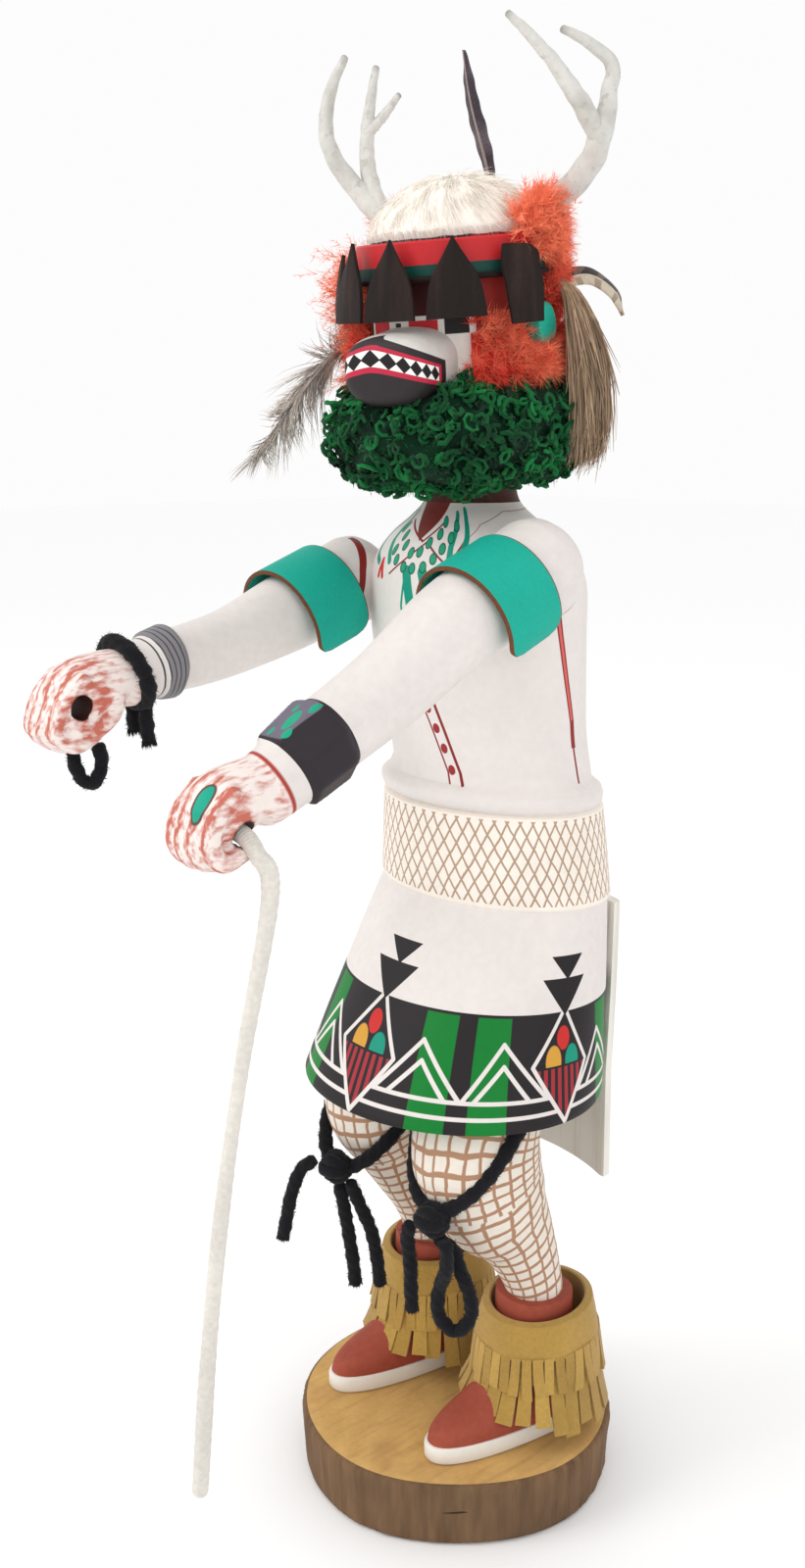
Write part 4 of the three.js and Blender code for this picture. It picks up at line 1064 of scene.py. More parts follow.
def makeNetFinish():
    # Painted net stockings
    made = Finish("legPaint", 0.55)
    turn, down, _ = made.painted()
    wobble = made.noise(110.0) - 0.5
    knee = down.least(net["knee"])
    below = (down - knee + wobble * 2.2) * (1 / net["lowerRing"])
    rings = (knee * (1 / net["ring"]) + below + turn * 0.25).part()
    lines = (turn * (net["lines"] / (2 * pi)) + wobble * 0.6 + down * 0.012).part().above(0.75, 0.06)
    # Below the knee the leg is thinner, and it has fewer and slanting lines
    lower = (turn * (net["lowerLines"] / (2 * pi)) + wobble * 0.5 + down * 0.02).part().above(0.79, 0.05)
    painted = rings.above(0.7, 0.05).most(lines + (lower - lines) * down.above(net["knee"], 0.5))
    made.colour = made.over(paint(226, 217, 205), painted, bodyPaint["netBrown"])
    return made.close(vary=0.08, relief=0.2)


# The pattern comes back after a turn of 1.42, which is 63.9 millimetres round the hem
kiltPattern = {"turn": 1.42, "repeat": 63.9, "border": 31.7, "hemLines": (4.4, 8.6), "line": 1.25}


def makeKiltFinish():
    made = Finish("kiltPaint", 0.5)
    turn, up, _ = made.painted()
    white, black = bodyPaint["white"], bodyPaint["black"]
    # The pattern leans a little, as it was painted
    lean = (turn * 0.06 + 0.06) * (1.0 - up * (1 / kiltPattern["border"]))
    repeat = (turn - lean + 0.045) * (1 / kiltPattern["turn"])
    across = repeat.part() * kiltPattern["repeat"]
    near = ((repeat + 0.5).part() - 0.5) * kiltPattern["repeat"]
    made.colour = made.over(white, up.below(kiltPattern["border"]), black)
    stripes = across.within(17.1, 27.9).most(across.within(33.7, 44.7)).least(up.below(30.9))
    made.lay(stripes, bodyPaint["green"])
    where = made.place(across, up)
    chevrons = made.strokes(where, [
        [(5.7, 8.6), (18.1, 23.4), (31.1, 8.8)], [(10.4, 8.9), (18.7, 18.1), (26.7, 8.9)],
        [(31.8, 8.8), (42.8, 24), (57, 8.9)], [(35.2, 8.9), (43.2, 18.2), (51.2, 8.9)],
    ], kiltPattern["line"])
    low, high = kiltPattern["hemLines"]
    half = kiltPattern["line"] / 2
    lines = up.within(low - half, low + half).most(up.within(high - half, high + half)).most(chevrons)
    made.lay(lines, white)
    # The lozenge with its three domes and its striped foot
    side = (near * (1 / 9.9)).most(near * (-1 / 11.5))
    tall = ((up - 17.0) * (1 / 14.7)).most((17.0 - up) * (1 / 16.1))
    made.lay((side + tall).below(1.0, 0.02), black)
    foot = up.below(16.4).least((side + tall).below(0.93, 0.02))
    bars = (near * 2.45).wave().above(-0.25, 0.3)
    made.lay(foot.least(bars), bodyPaint["maroon"])
    spot = made.place(near, up)
    above = up.above(16.9)
    for oval, tint, ground in (((-0.4, 24.4, 2.7, 3.5), "red", None),
                               ((-4.2, 18.2, 3.1, 4.7), "ochre", above),
                               ((3.2, 17.9, 3.0, 4.5), "turquoise", above)):
        x, y, wide, high = oval
        rim = made.dabs(spot, [(x, y, wide + 0.55, high + 0.55)])
        dome = made.dabs(spot, [oval])
        if ground:
            rim = rim.least(ground)
            dome = dome.least(ground)
        made.lay(rim, black)
        made.lay(dome, bodyPaint[tint])
    rim = made.strokes(spot, [[(-0.9, 31.2), (-11.6, 17.4), (-0.2, 0.9), (9.9, 16.7), (1.1, 31.2)]],
                       kiltPattern["line"])
    made.lay(rim, white)
    # Two stacked triangles that point down into the border
    lower = ((up - 30.4) * 0.92 - abs(near - 0.3)).above(0.0).least(up.below(40.8))
    upper = ((up - 40.1) * 1.1 - abs(near - 1.4)).above(0.0).least(up.below(46.9))
    made.lay(lower.most(upper).least(up.above(30.6)), black)
    return made.close(vary=0.07, relief=0.15)


def makeSashFinish():
    made = Finish("sashPaint", 0.6)
    turn, up, _ = made.painted()
    girth, cell = 35.0, 3.9
    across = turn * girth + (made.noise(120.0) - 0.5) * 1.6
    hatch = ((across + up * 0.5) * (1 / cell)).part().above(0.8, 0.05)
    hatch = hatch.most(((across - up * 0.58) * (1 / cell)).part().above(0.8, 0.05))
    hatch = hatch.least(up.within(1.0, 26.2))
    made.colour = made.over(paint(240, 231, 220), hatch * 0.9, paint(164, 134, 108))
    return made.close(vary=0.08, relief=0.2)


def makeShirtFinish():
    made = Finish("shirtPaint", 0.5)
    turn, up, _ = made.painted()
    girth = 32.0
    spot = made.place(turn * girth, up)

    def laid(*lines):
        return [[(girth * u, v) for u, v in line] for line in lines]

    throat = ((up - 104.3) * 1.1 - abs(turn * girth + 1.2)).above(0.0)
    made.colour = made.over(bodyPaint["white"], throat, bodyPaint["skin"])
    arcs = made.strokes(spot, laid([(0.542, 105.4), (0.767, 109.3), (1.274, 112.6), (2.33, 113.2)],
                                   [(0.778, 102.6), (1.218, 106.8), (2.25, 108.5)]), 0.2)
    made.lay(arcs * 0.8, bodyPaint["darkRed"])
    seams = made.strokes(spot, laid([(0.083, 104.3), (-0.315, 94.7)],
                                    [(0.083, 104.3), (0.349, 98.1), (0.531, 105.4)],
                                    [(-0.38, 110), (0.016, 104.3), (0.26, 110)],
                                    [(0.0, 60), (0.215, 35.0)]), 0.6)
    made.lay(seams, bodyPaint["darkRed"])
    sideSeam = [(1.405, 84.5), (1.492, 70.6), (1.604, 54), (1.62, 36)]
    both = laid(sideSeam, [(-u, v) for u, v in sideSeam])
    made.lay(made.strokes(spot, both, 2.3).least(up.above(46.0)), bodyPaint["darkRed"])
    made.lay(made.strokes(spot, both, 1.1).least(up.above(46.0)), paint(208, 96, 90))
    placket = made.strokes(spot, laid(sideSeam[-2:], [(0.12, 62), (0.343, 35)]), 1.0)
    made.lay(placket, bodyPaint["darkRed"])
    buttons = [(0.07, 57), (0.128, 51.1), (0.181, 45.2), (0.231, 38.9)]
    made.lay(made.dabs(spot, [(u * girth, v, 1.25, 1.6) for u, v in buttons]), paint(150, 40, 44))
    # Necklaces
    strands = laid([(-0.62, 114), (-0.80, 104.5), (-0.70, 99.4), (-0.58, 97.5)],
                   [(-0.5, 112), (-0.49, 104.2), (-0.36, 98.1)],
                   [(0.6, 113), (0.545, 105.5), (0.458, 98.6)],
                   [(0.46, 112), (0.371, 103.4), (0.363, 98.5)])
    made.lay(made.strokes(spot, strands, 1.9), bodyPaint["turquoise"])
    middle = laid([(-0.08, 96), (-0.03, 88), (0.018, 79)], [(0.1, 96), (0.17, 88.5), (0.21, 82)])
    made.lay(made.strokes(spot, middle, 3.2), bodyPaint["turquoise"])
    string = made.strokes(spot, laid([(-0.1, 93), (-0.13, 86), (-0.1, 79)]), 0.8)
    made.lay(string, bodyPaint["turquoise"])
    beads = [(-0.427, 107.8), (-0.3, 105.6), (-0.2, 103), (-0.077, 101), (0.03, 101.5), (0.111, 104),
             (0.22, 106.5), (0.268, 109.8), (-0.34, 101.5), (-0.253, 98.8), (-0.13, 97), (-0.02, 96.8),
             (0.1, 97.4), (0.2, 99.8), (0.28, 102.6), (0.36, 105.6), (0.43, 108.8)]
    beads = [(u * girth, v) for u, v in beads]
    made.lay(made.dabs(spot, [(x, y, 1.35, 1.75) for x, y in beads]), paint(30, 60, 52))
    made.lay(made.dabs(spot, [(x, y, 1.0, 1.4) for x, y in beads]), paint(20, 150, 112))
    knots = laid([(-0.49, 98.4), (-0.52, 93.6)], [(-0.49, 98.4), (-0.44, 93.6)],
                 [(0.40, 98.6), (0.37, 93.8)], [(0.40, 98.6), (0.45, 93.8)], [(-0.08, 79.5), (-0.11, 75)],
                 [(-0.08, 79.5), (-0.04, 75)])
    made.lay(made.strokes(spot, knots, 1.5), bodyPaint["red"])
    return made.close(vary=0.06, relief=0.15)


def makeMaskFinish():
    made = Finish("maskPaint", 0.55)
    turn, up, _ = made.painted()
    away = turn + 0.12
    wide = abs(away)
    white = paint(222, 216, 208)
    # Above the eye band, behind the leather points, the mask's red is painted dark: painted shade under
    # the visor
    made.colour = made.over(white, up.above(32.6), paint(62, 20, 22))
    blocks = wide.within(0.14, 0.5, 0.01).least(up.within(27.6, 31.6))
    made.lay(blocks, paint(190, 40, 48))
    eyes = wide.within(0.56, 0.84, 0.01).least(up.within(27.6, 32.0))
    nose = wide.below(0.045, 0.01).least(up.within(27.8, 31.2))
    made.lay(eyes.most(nose), paint(30, 24, 26))
    made.lay(wide.above(0.9, 0.01), paint(150, 40, 34))
    return made.close(vary=0.12, relief=0.2)


def makeNeckFinish():
    made = Finish("neckPaint", 0.6)
    patch = made.noise(110.0, 3)
    made.colour = made.over(paint(84, 46, 40), patch.above(0.5, 0.2), paint(54, 48, 47))
    return made.close(vary=0.2)


def makeBodyFinishes():
    made = {
        "net": makeNetFinish(),
        "moccasin": plain("moccasinPaint", (154, 72, 54), 0.62, vary=0.2, scale=500.0),
        "sole": plain("solePaint", (228, 224, 216), 0.6, vary=0.08),
        "kilt": makeKiltFinish(),
        "sash": makeSashFinish(),
        "shirt": makeShirtFinish(),
        "neck": makeNeckFinish(),
        "mask": makeMaskFinish(),
    }
    return [made[name] for name in skinNumber]


makePiece("carvedBody", joined(
    *[makeLeg(side) for side in sideSign], *[makeFoot(side) for side in sideSign], makeKilt(),
    makeTorso(), makeHead(),
), makeBodyFinishes(), ["body"])
print("stage: carved body")


# Snout, ears, visor, its rod and its leather points

def makeSnout():
    radius, reach = head["radius"], head["snoutReach"]
    rows = curve([(0.7, 0.94, 1.05), (0.95, 0.97, 1.04), (1.2, 1, 1), (1.38, 1, 0.98), (1.48, 0.93, 0.91),
                  (1.54, 0.74, 0.72), (1.556, 0.4, 0.4), (1.56, 0.1, 0.1)], np.linspace(0, 1, 40))
    a = circle(96)
    c = np.sign(np.sin(a)) * np.abs(np.sin(a)) ** 0.8
    d = -np.sign(np.cos(a)) * np.abs(np.cos(a)) ** 0.8
    rings = []
    for share, wide, high in rows:
        y = -radius * share if share < 1 else -(radius + (share - 1) / 0.55 * reach)
        rings.append(np.stack([head["snoutHalfWidth"] * wide * c, np.full(96, y),
                               head["snoutLevel"] - (share - 0.7) * 2
                               + head["snoutHalfHeight"] * high * d], -1))
    shape = skin(rings)
    # The painted place is how far round the snout from its middle, and the height on the mask
    p = shape["points"]
    front = -(radius + reach)
    round_ = np.sign(p[:, 0]) * (np.abs(p[:, 0]) + np.maximum(0, p[:, 1] - front))
    place = np.stack([round_, p[:, 2], p[:, 1]], -1)
    shape["blocks"] = [(faces, place[faces], finish) for faces, _, finish in shape["blocks"]]
    return {**shape, "points": onHead(p)}


def makeSnoutFinish():
    made = Finish("snoutPaint", 0.5)
    turn, up, _ = made.painted()
    # Distance from the middle of the mouth, round the snout
    off = turn + 2.5
    m = off.math("SQRT", off * off + 7.0) - 1.6
    dark = up.below(29.2 - m * 0.3).least(m.below(25.8))
    # The snout's white is a little greyer than the mask's white: painted shade
    made.colour = made.over(paint(208, 203, 198), dark, paint(44, 38, 40))
    lip = up.below(26.9 - m * 0.27).least(up.above(19.7 - m * 0.2)).least(m.below(23.8))
    made.lay(lip, paint(188, 38, 66))
    top, bottom = 25.6 - m * 0.25, 21.2 - m * 0.215
    mouth = up.below(top).least(up.above(bottom)).least(m.below(22.6))
    made.lay(mouth, paint(26, 22, 24))
    height = (up - bottom) / (top - bottom)
    tooth = 0.5 - abs((off * (m * (1 / 300) + 0.154)).part() - 0.5)
    upper = (height - 1.0 + tooth * 0.98).above(0.0, 0.03)
    lower = (tooth * 0.92 - height).above(0.0, 0.03)
    made.lay(upper.most(lower).least(mouth), paint(240, 238, 232))
    return made.close(vary=0.12, relief=0.2)


makePiece("snoutBlock", makeSnout(), makeSnoutFinish(), ["snout"])


ear = {"height": 11, "reach": 5.1, "drop": 1.3}


def makeEar(side):
    a = np.linspace(0, 2 * pi, 40, endpoint=False)
    rings = []
    for out, share in ((-1, 1), (ear["reach"] - 1.0, 1), (ear["reach"] - 0.4, 0.94),
                       (ear["reach"] - 0.1, 0.8)):
        rings.append(np.stack([np.full(40, sideSign[side] * (head["radius"] - 0.6 + out)),
                               ear["height"] * 0.41 * share * np.cos(a),
                               ear["height"] * 0.56 * share * np.sin(a)], -1))
    rings = np.array(rings) + (0, 0, head["visorLevel"] - ear["height"] * ear["drop"])
    return skin(onHead(rings))


earPaint = plain("turquoisePaint", (24, 158, 134), 0.5, vary=0.18, scale=700.0)
for side in sideSign:
    makePiece(f"earPlug_{side}", makeEar(side), earPaint, [f"ear_{side}"])

visorInner = head["radius"] + figure["gap"]
visorOuter = visorInner + head["visorThickness"]
rodRadius = 0.8
rodCentre = visorOuter + figure["gap"] + rodRadius
pointInner = rodCentre + rodRadius + figure["gap"]
points = {"angles": (-53, -27, 2, 34, 67), "height": 20.5, "width": 12.5, "thickness": 1.0, "lean": -0.16}


def makeVisor():
    a = np.radians(np.linspace(-95, 95, 90))
    low, high = head["visorLevel"], head["visorLevel"] + head["visorHeight"]
    profile = [(visorOuter - 0.4, low), (visorOuter, low + 0.4), (visorOuter, low + 3.3),
               (visorOuter, low + 3.4), (visorOuter, high - 0.5), (visorOuter - 0.5, high),
               (visorInner, high), (visorInner, low)]
    made = skin(onHead([swept(t, profile) for t in a]), around(len(profile)), a)
    (faces, places, _), *ends = made["blocks"]
    lower = np.isin(np.arange(len(faces)) % len(profile), (0, 1, 2))
    blocks = [(faces[lower], places[lower], 1), (faces[~lower], places[~lower], 0), *ends]
    return {**made, "blocks": blocks}


makePiece("visorBand", makeVisor(), [
    plain("visorRed", (196, 42, 46), 0.4, vary=0.14, scale=500.0, stretch=(1, 1, 0.3)),
    plain("visorTeal", (22, 70, 62), 0.5, vary=0.3, scale=500.0),
], ["visor"])

leatherDark = Finish("darkLeather", 0.72)
grainy = leatherDark.noise(700.0, 5)
streaky = leatherDark.noise(120.0, 4, (1, 1, 0.18))
leatherDark.colour = leatherDark.over(paint(26, 16, 13), streaky.above(0.45, 0.3), paint(60, 43, 37))
leatherDark.close(vary=0.3, scale=900.0, relief=0.5, depth=0.15, height=grainy.socket)


def makeRod():
    a = np.linspace(-95 * 1.04, 95 * 1.04, 90)
    line = onHead(np.stack([rodCentre * np.sin(np.radians(a)), -rodCentre * np.cos(np.radians(a)),
                            np.full(90, head["visorLevel"] - 0.2)], -1))
    end = np.minimum(np.arange(90), np.arange(90)[::-1])
    radius = rodRadius * np.interp(end, [0, 5], [0.15, 1.0])
    return tubes(line[None], radius[None], [(0, 0, 1)], [0.5], sides=10)


def makePoint(place):
    blunt = place == 4
    half = points["width"] / 2 * (1.0, 1.25, 1.25, 1.25, 1.1)[place]
    height = points["height"] * (0.88 if place == 0 else 1)
    if blunt:
        edge = [(-0.7, 0), (-0.75, 0.4), (-0.85, 0.75), (-0.7, 0.98), (-0.45, 0.955), (-0.2, 0.93),
                (0.1, 0.97), (0.5, 0.95), (0.85, 0.86), (0.9, 0.45), (0.7, 0)]
    else:
        edge = [(-1.02, 0), (-0.97, 0.2), (-0.88, 0.38), (-0.72, 0.55), (-0.46, 0.7), (-0.2, 0.86),
                (0, 1), (0.2, 0.86), (0.46, 0.7), (0.72, 0.55), (0.88, 0.38), (0.97, 0.2), (1.02, 0)]
    edge = np.array(edge) * (half, height) + (0, -height)
    # Rows across the leaf from its foot to its tip, with a crease down the middle
    left, right = edge[: (len(edge) + 1) // 2], edge[len(edge) // 2:][::-1]
    t = np.linspace(0, 1, 22)
    left = np.stack([np.interp(t, np.linspace(0, 1, len(left)), left[:, k]) for k in range(2)], -1)
    right = np.stack([np.interp(t, np.linspace(0, 1, len(right)), right[:, k]) for k in range(2)], -1)
    s = np.linspace(0, 1, 15)
    outer = left[:, None] * (1 - s)[None, :, None] + right[:, None] * s[None, :, None]
    fade = np.sin(pi * np.clip(t * 0.9 + 0.12, 0, 1))[:, None]
    crease = (0.35 if blunt else 0.9) * (1 - np.abs(2 * s - 1)) * fade
    ripple = 0.12 * np.sin(9 * t)[:, None] * np.cos(7 * s)[None]
    curl = 0.7 * (2 * s - 1)[None] ** 2 * (1 - t)[:, None] + ripple
    lift = crease - curl * 0.5
    frontFace = np.stack([outer[..., 0], -lift - points["thickness"], outer[..., 1]], -1)
    backFace = np.stack([outer[..., 0], -lift * 0.9 - 0.05, outer[..., 1]], -1)
    loops = np.concatenate([frontFace, backFace[:, ::-1]], 1)
    made = skin(loops, around(30), t, caps="ladder")
    top = head["visorLevel"] + head["visorHeight"] + (-2 if place % 4 == 0 else 0.6)
    turn = turnedAbout("Z", np.radians(points["angles"][place]))
    lean = turnedAbout("X", points["lean"])
    return moved(made, headFrame @ turn @ shifted((0, -pointInner - 0.7, top)) @ lean)


makePiece("visorRod", makeRod(), leatherDark.material, ["visor_rod"])
for i in range(5):
    makePiece(f"leatherPoint_{i + 1}", makePoint(i), leatherDark.material, [f"visor_point_{i + 1}"],
              sharp=60)
print("stage: mask, visor and leather points")


# Fur cap, crest feather and antlers

cap = {"thickness": 3.4, "hairs": 9000, "hair": 9.0}


def makeCap():
    radius = head["radius"] + cap["thickness"] - 2.2
    rise = head["radius"] * 0.86 + cap["thickness"] - 1.6
    low = head["visorLevel"] + head["visorHeight"] + figure["gap"]
    brim = np.arcsin((low + 2.6 - domeStart) / rise)
    bend = np.linspace(brim, pi / 2 - 0.03, 34)
    profile = [(radius * 0.8, low), (radius * np.cos(brim) * 0.985, low + 0.2),
               *np.stack([radius * np.cos(bend), domeStart + rise * np.sin(bend)], -1)]
    rings = []
    for r, z in profile:
        ring = levelRing(0, 0, z, r, r, 72)
        ring[:, 2] += 0.35 * np.sin(ring[:, 0] * 0.7) * np.cos(ring[:, 1] * 0.6)
        rings.append(onHead(ring))
    base = skin(rings, around(72), tone=0.85)
    count = cap["hairs"]
    lift = np.arcsin(draw.uniform(np.sin(brim), 0.999, count))
    a = draw.uniform(-pi, pi, count)
    flat = levelWay(a)
    out = flat * np.cos(lift)[:, None] + raised(np.sin(lift))
    roots = flat * (radius * np.cos(lift))[:, None] + raised(domeStart + rise * np.sin(lift))
    # The wool is combed from the crown down to the left
    swirl = np.cross((0.25, -0.35, 1), out)
    down = flat * np.sin(lift)[:, None] - raised(np.cos(lift))
    ways = out * 0.1 + down * 0.8 + swirl * 0.6 + draw.normal(size=(count, 3)) * 0.09
    reach = cap["hair"] * draw.uniform(0.5, 1.15, count)
    # Hairs near the brim stay short, so that the visor shows
    reach *= np.interp(lift, [brim, brim + 0.3], [0.35, 1])
    droop = -out * (reach * 0.22)[:, None]
    hairs = spikes(onHead(roots - out * 0.2), turnedWithHead(ways), reach, np.full(count, 0.14),
                   turnedWithHead(droop), draw.uniform(0, 1, count), steps=2, curl=0.03)
    return joined(base, hairs)


furCream = toned("creamFur", (238, 229, 217), (250, 245, 238), 0.95, 0.1, vary=0.06, scale=500.0,
                 relief=0.1)
makePiece("furCap", makeCap(), furCream, ["fur_cap"])

crest = {"foot": (2.5, 16), "length": 33, "width": 4.6}


def makeCrest():
    x, y = crest["foot"]
    foot = np.array([x, y, domeStart + head["radius"] * 0.86 - 5])
    tip = foot + (-1.5, -8.5, crest["length"] + 5)
    t = np.linspace(0, 1, 60)
    line = foot + (tip - foot) * t[:, None]
    line[:, 0] += 0.5 * np.sin(t * 7)
    half = np.interp(t, [0, 0.14, 0.16, 0.3, 0.55, 0.62, 0.8, 0.97, 1],
                     [0.28, 0.32, 0.6, 0.95, 1.05, 0.9, 0.72, 0.2, 0.03])
    half = half * crest["width"] / 2 * (1 + 0.06 * np.sin(t * 40))
    s = np.linspace(-1, 1, 13)
    thick = 0.5 * (1 - 0.7 * np.abs(s)) + 0.1
    cup = 0.5 * s**2
    across = half[:, None] * s[None]
    still = 0 * across
    face, back = (line[:, None] + np.stack([across, cup + out + still, still], -1)
                  for out in (-thick, thick))
    loops = np.concatenate([face, back[:, ::-1]], 1)
    vane = skin(onHead(loops), around(26), t * crest["length"], caps="ladder", tone=0.4)
    return joined(vane, quill(onHead(line - (0, 0.55, 0)), 0.55, 0.15, (1, 0, 0), 1.0))


featherGrey = Finish("greyFeather", 0.7, 0.2)
acrossVane, upVane, _ = featherGrey.painted()
barb = ((upVane * 7.0 + abs(acrossVane) * 3.0).wave() * 0.5 + 0.5) * 0.5
featherGrey.colour = featherGrey.over(paint(58, 50, 58), featherGrey.noise(90.0, 4).above(0.45, 0.3),
                                      paint(112, 100, 110))
featherGrey.lay(barb * 0.4, paint(40, 34, 40))
featherGrey.lay(featherGrey.tone().above(0.8), paint(150, 132, 128))
featherGrey.close(vary=0.2, scale=800.0, relief=0.6, depth=0.12, height=barb.socket)
makePiece("crestFeather", makeCrest(), featherGrey.material, ["crest_feather"])

antlerRadius = 3.35
antlerBeams = {
    "left": [
        [(21.5, 7.5, 52, 1.1), (26.5, 10.5, 59, 1.05), (35, 13, 67, 1), (40.5, 11.5, 75, 0.9),
         (40.5, 15.5, 84, 0.66), (41, 16.5, 91, 0.55), (36.5, 10.5, 97, 0.42), (33.5, 5.5, 99.5, 0.3)],
        [(40.2, 11.5, 73, 0.85), (36.5, 6.5, 83, 0.72), (32, 2.5, 92, 0.55), (28, -2.5, 99, 0.42),
         (25, -6.5, 103.5, 0.28)],
    ],
    "right": [
        [(-20, 1.8, 50, 1.1), (-24.5, 0.8, 58, 1), (-31.5, -0.2, 66, 0.85), (-38.5, -2.2, 76, 0.72),
         (-41, -1.2, 85, 0.62), (-40.5, 1.8, 94, 0.5), (-38, 5.8, 102, 0.32)],
        [(-25.5, 0.8, 60, 0.9), (-30, 2.8, 70, 0.7), (-31.5, 4.8, 80, 0.6), (-31, 6.8, 89, 0.45),
         (-29.5, 8.8, 98.5, 0.3)],
        [(-31.3, 4.8, 81.5, 0.5), (-28, 8.8, 86, 0.4), (-24.5, 11.8, 91, 0.26)],
    ],
}


def antlerKnurl(t, a):
    return 1 + 0.035 * np.sin(a * 3 + t * 23) + 0.03 * np.sin(a * 5 - t * 41) + 0.03 * np.sin(t * 60 + a)


def makeAntler(side):
    beams = []
    for beam in antlerBeams[side]:
        knots = [(*onHead((x, y, z)), antlerRadius * share) for x, y, z, share in beam]
        shape = limb(knots, 60, 24, endRound=0.7, knurl=antlerKnurl)
        # The tone runs up the beam, so that the tips can be darker
        rows = len(shape["points"]) // 24
        shape["tone"][: rows * 24] = np.repeat(np.linspace(0, 1, rows), 24)
        shape["tone"][-2:] = (0, 1)
        beams.append(shape)
    return joined(*beams)


antlerPaint = Finish("antlerPaint", 0.5)
patch = antlerPaint.noise(70.0, 4)
fineGrain = antlerPaint.noise(420.0, 5)
antlerPaint.colour = antlerPaint.over(paint(208, 206, 200), patch.above(0.46, 0.3) * 0.8,
                                      paint(160, 158, 148))
antlerPaint.lay(fineGrain.above(0.58, 0.1) * 0.3, paint(132, 128, 114))
tip = antlerPaint.tone()
antlerPaint.lay(tip.above(0.9, 0.1) * 0.85, paint(104, 102, 94))
antlerPaint.close(vary=0.12, scale=500.0, relief=0.55, depth=0.35, height=fineGrain.socket)
for side in sideSign:
    makePiece(f"antlerPair_{side}", makeAntler(side), antlerPaint.material, [f"antler_{side}"],
              sharp=80)
print("stage: fur cap, crest feather and antlers")


# Yarn ruff round the neck, the fluffy feathers over it and the bundles at the ears

ruff = {"radius": 22.4, "thickness": 15, "loops": 2450, "place": (-1.4, -1), "strand": 0.62,
        "strays": 3600}


def ruffPoint(a, b, grow):
    # a runs round the neck and b round the ring's section
    big, small = ruff["radius"], ruff["thickness"] + grow
    flat = big + small * np.cos(b)
    x, y, z = flat * np.cos(a), flat * np.sin(a), small * np.sin(b)
    lump = 1 + 0.035 * np.sin(7 * a + z * 0.35) + 0.03 * np.sin(11 * a - z * 0.5)
    rise = z * 1.06 * (1 + 0.05 * np.sin(5 * a))
    return np.stack([x * lump + ruff["place"][0], y * lump + ruff["place"][1],
                     rise + ruff["thickness"] * 0.1], -1)


def makeRuff():
    a, b = np.meshgrid(circle(90), circle(40),
                       indexing="ij")
    rings = ruffPoint(a, b, -2.8)
    # The core under the loops takes the darkest green, as painted shade between the loops
    core = skin(onHead(np.concatenate([rings, rings[:1]])), caps=False, tone=0.05)
    count = ruff["loops"]
    a = draw.uniform(-pi, pi, count)
    b = draw.uniform(-pi, pi, count)
    outside = np.cos(b) > -0.55
    a, b = a[outside], b[outside]
    count = len(a)
    base = ruffPoint(a, b, -3.1)
    out = unit(ruffPoint(a, b, 2) - base)
    lie = unit(np.cross(out, draw.normal(size=(count, 3))))
    across = np.cross(out, lie)
    s = np.linspace(0, 1, 8)
    turns = draw.uniform(0.8, 1.4, count)[:, None] * 2 * pi * s + draw.uniform(0, 2 * pi, count)[:, None]
    wide = draw.uniform(0.8, 1.7, count)[:, None]
    # Tufts of the wool stand out more than others
    tufted = 1 + 0.3 * np.sin(a * 9 + b * 4) * np.sin(b * 7 - a * 3)
    lift = (draw.uniform(1.6, 3.9, count) * tufted)[:, None] * np.sin(pi * s * 0.8 + 0.3)[None]
    drift = (s[None] - 0.5) * draw.uniform(1.5, 4.0, count)[:, None]
    line = (base[:, None] + out[:, None] * lift[..., None]
            + lie[:, None] * (np.cos(turns) * wide + drift)[..., None]
            + across[:, None] * (np.sin(turns) * wide)[..., None])
    tone = np.clip(draw.normal(0.5, 0.25, count), 0, 1)
    # Tufts that stand out more are painted lighter, as painted light on the outer wool
    tone = np.clip(tone + (tufted - 1) * 0.8, 0, 1)
    curls = tubes(onHead(line), draw.uniform(0.75, 1.2, count)[:, None] * ruff["strand"],
                  draw.normal(size=(count, 3)), tone, 4)
    # Loose wool that softens the outline
    count = ruff["strays"]
    a, b = draw.uniform(-pi, pi, count), draw.uniform(-2.1, 2.1, count)
    base = ruffPoint(a, b, draw.uniform(-2.0, 0.3, count))
    out = unit(ruffPoint(a, b, 2) - ruffPoint(a, b, 0))
    ways = out + draw.normal(size=(count, 3)) * 0.9
    hairs = spikes(onHead(base), turnedWithHead(ways), draw.uniform(0.8, 2.4, count),
                   np.full(count, 0.13), out * 0, draw.uniform(0.3, 1, count), steps=1)
    return joined(core, curls, hairs)


yarnGreen = Finish("greenYarn", 1.0, 0.05)
depth = yarnGreen.noise(70.0, 3)
yarnGreen.colour = yarnGreen.over(paint(3, 40, 24), yarnGreen.tone(), paint(14, 112, 54))
# Darker patches at random: painted shade for the deep parts of the wool
yarnGreen.lay(depth.below(0.48, 0.12) * 0.6, paint(3, 26, 17))
yarnGreen.close(vary=0.3, scale=1100.0, relief=0.6, depth=0.2)
makePiece("yarnRuff", makeRuff(), yarnGreen.material, ["ruff"], sharp=80)

fluff = {"collarHeight": 15, "collarReach": 8, "from": 0.72, "collarPlumes": 930,
         "tuftHeight": 30, "tuftThickness": 5, "tuftPlumes": 720}
ruffTop = ruff["thickness"] * 1.18


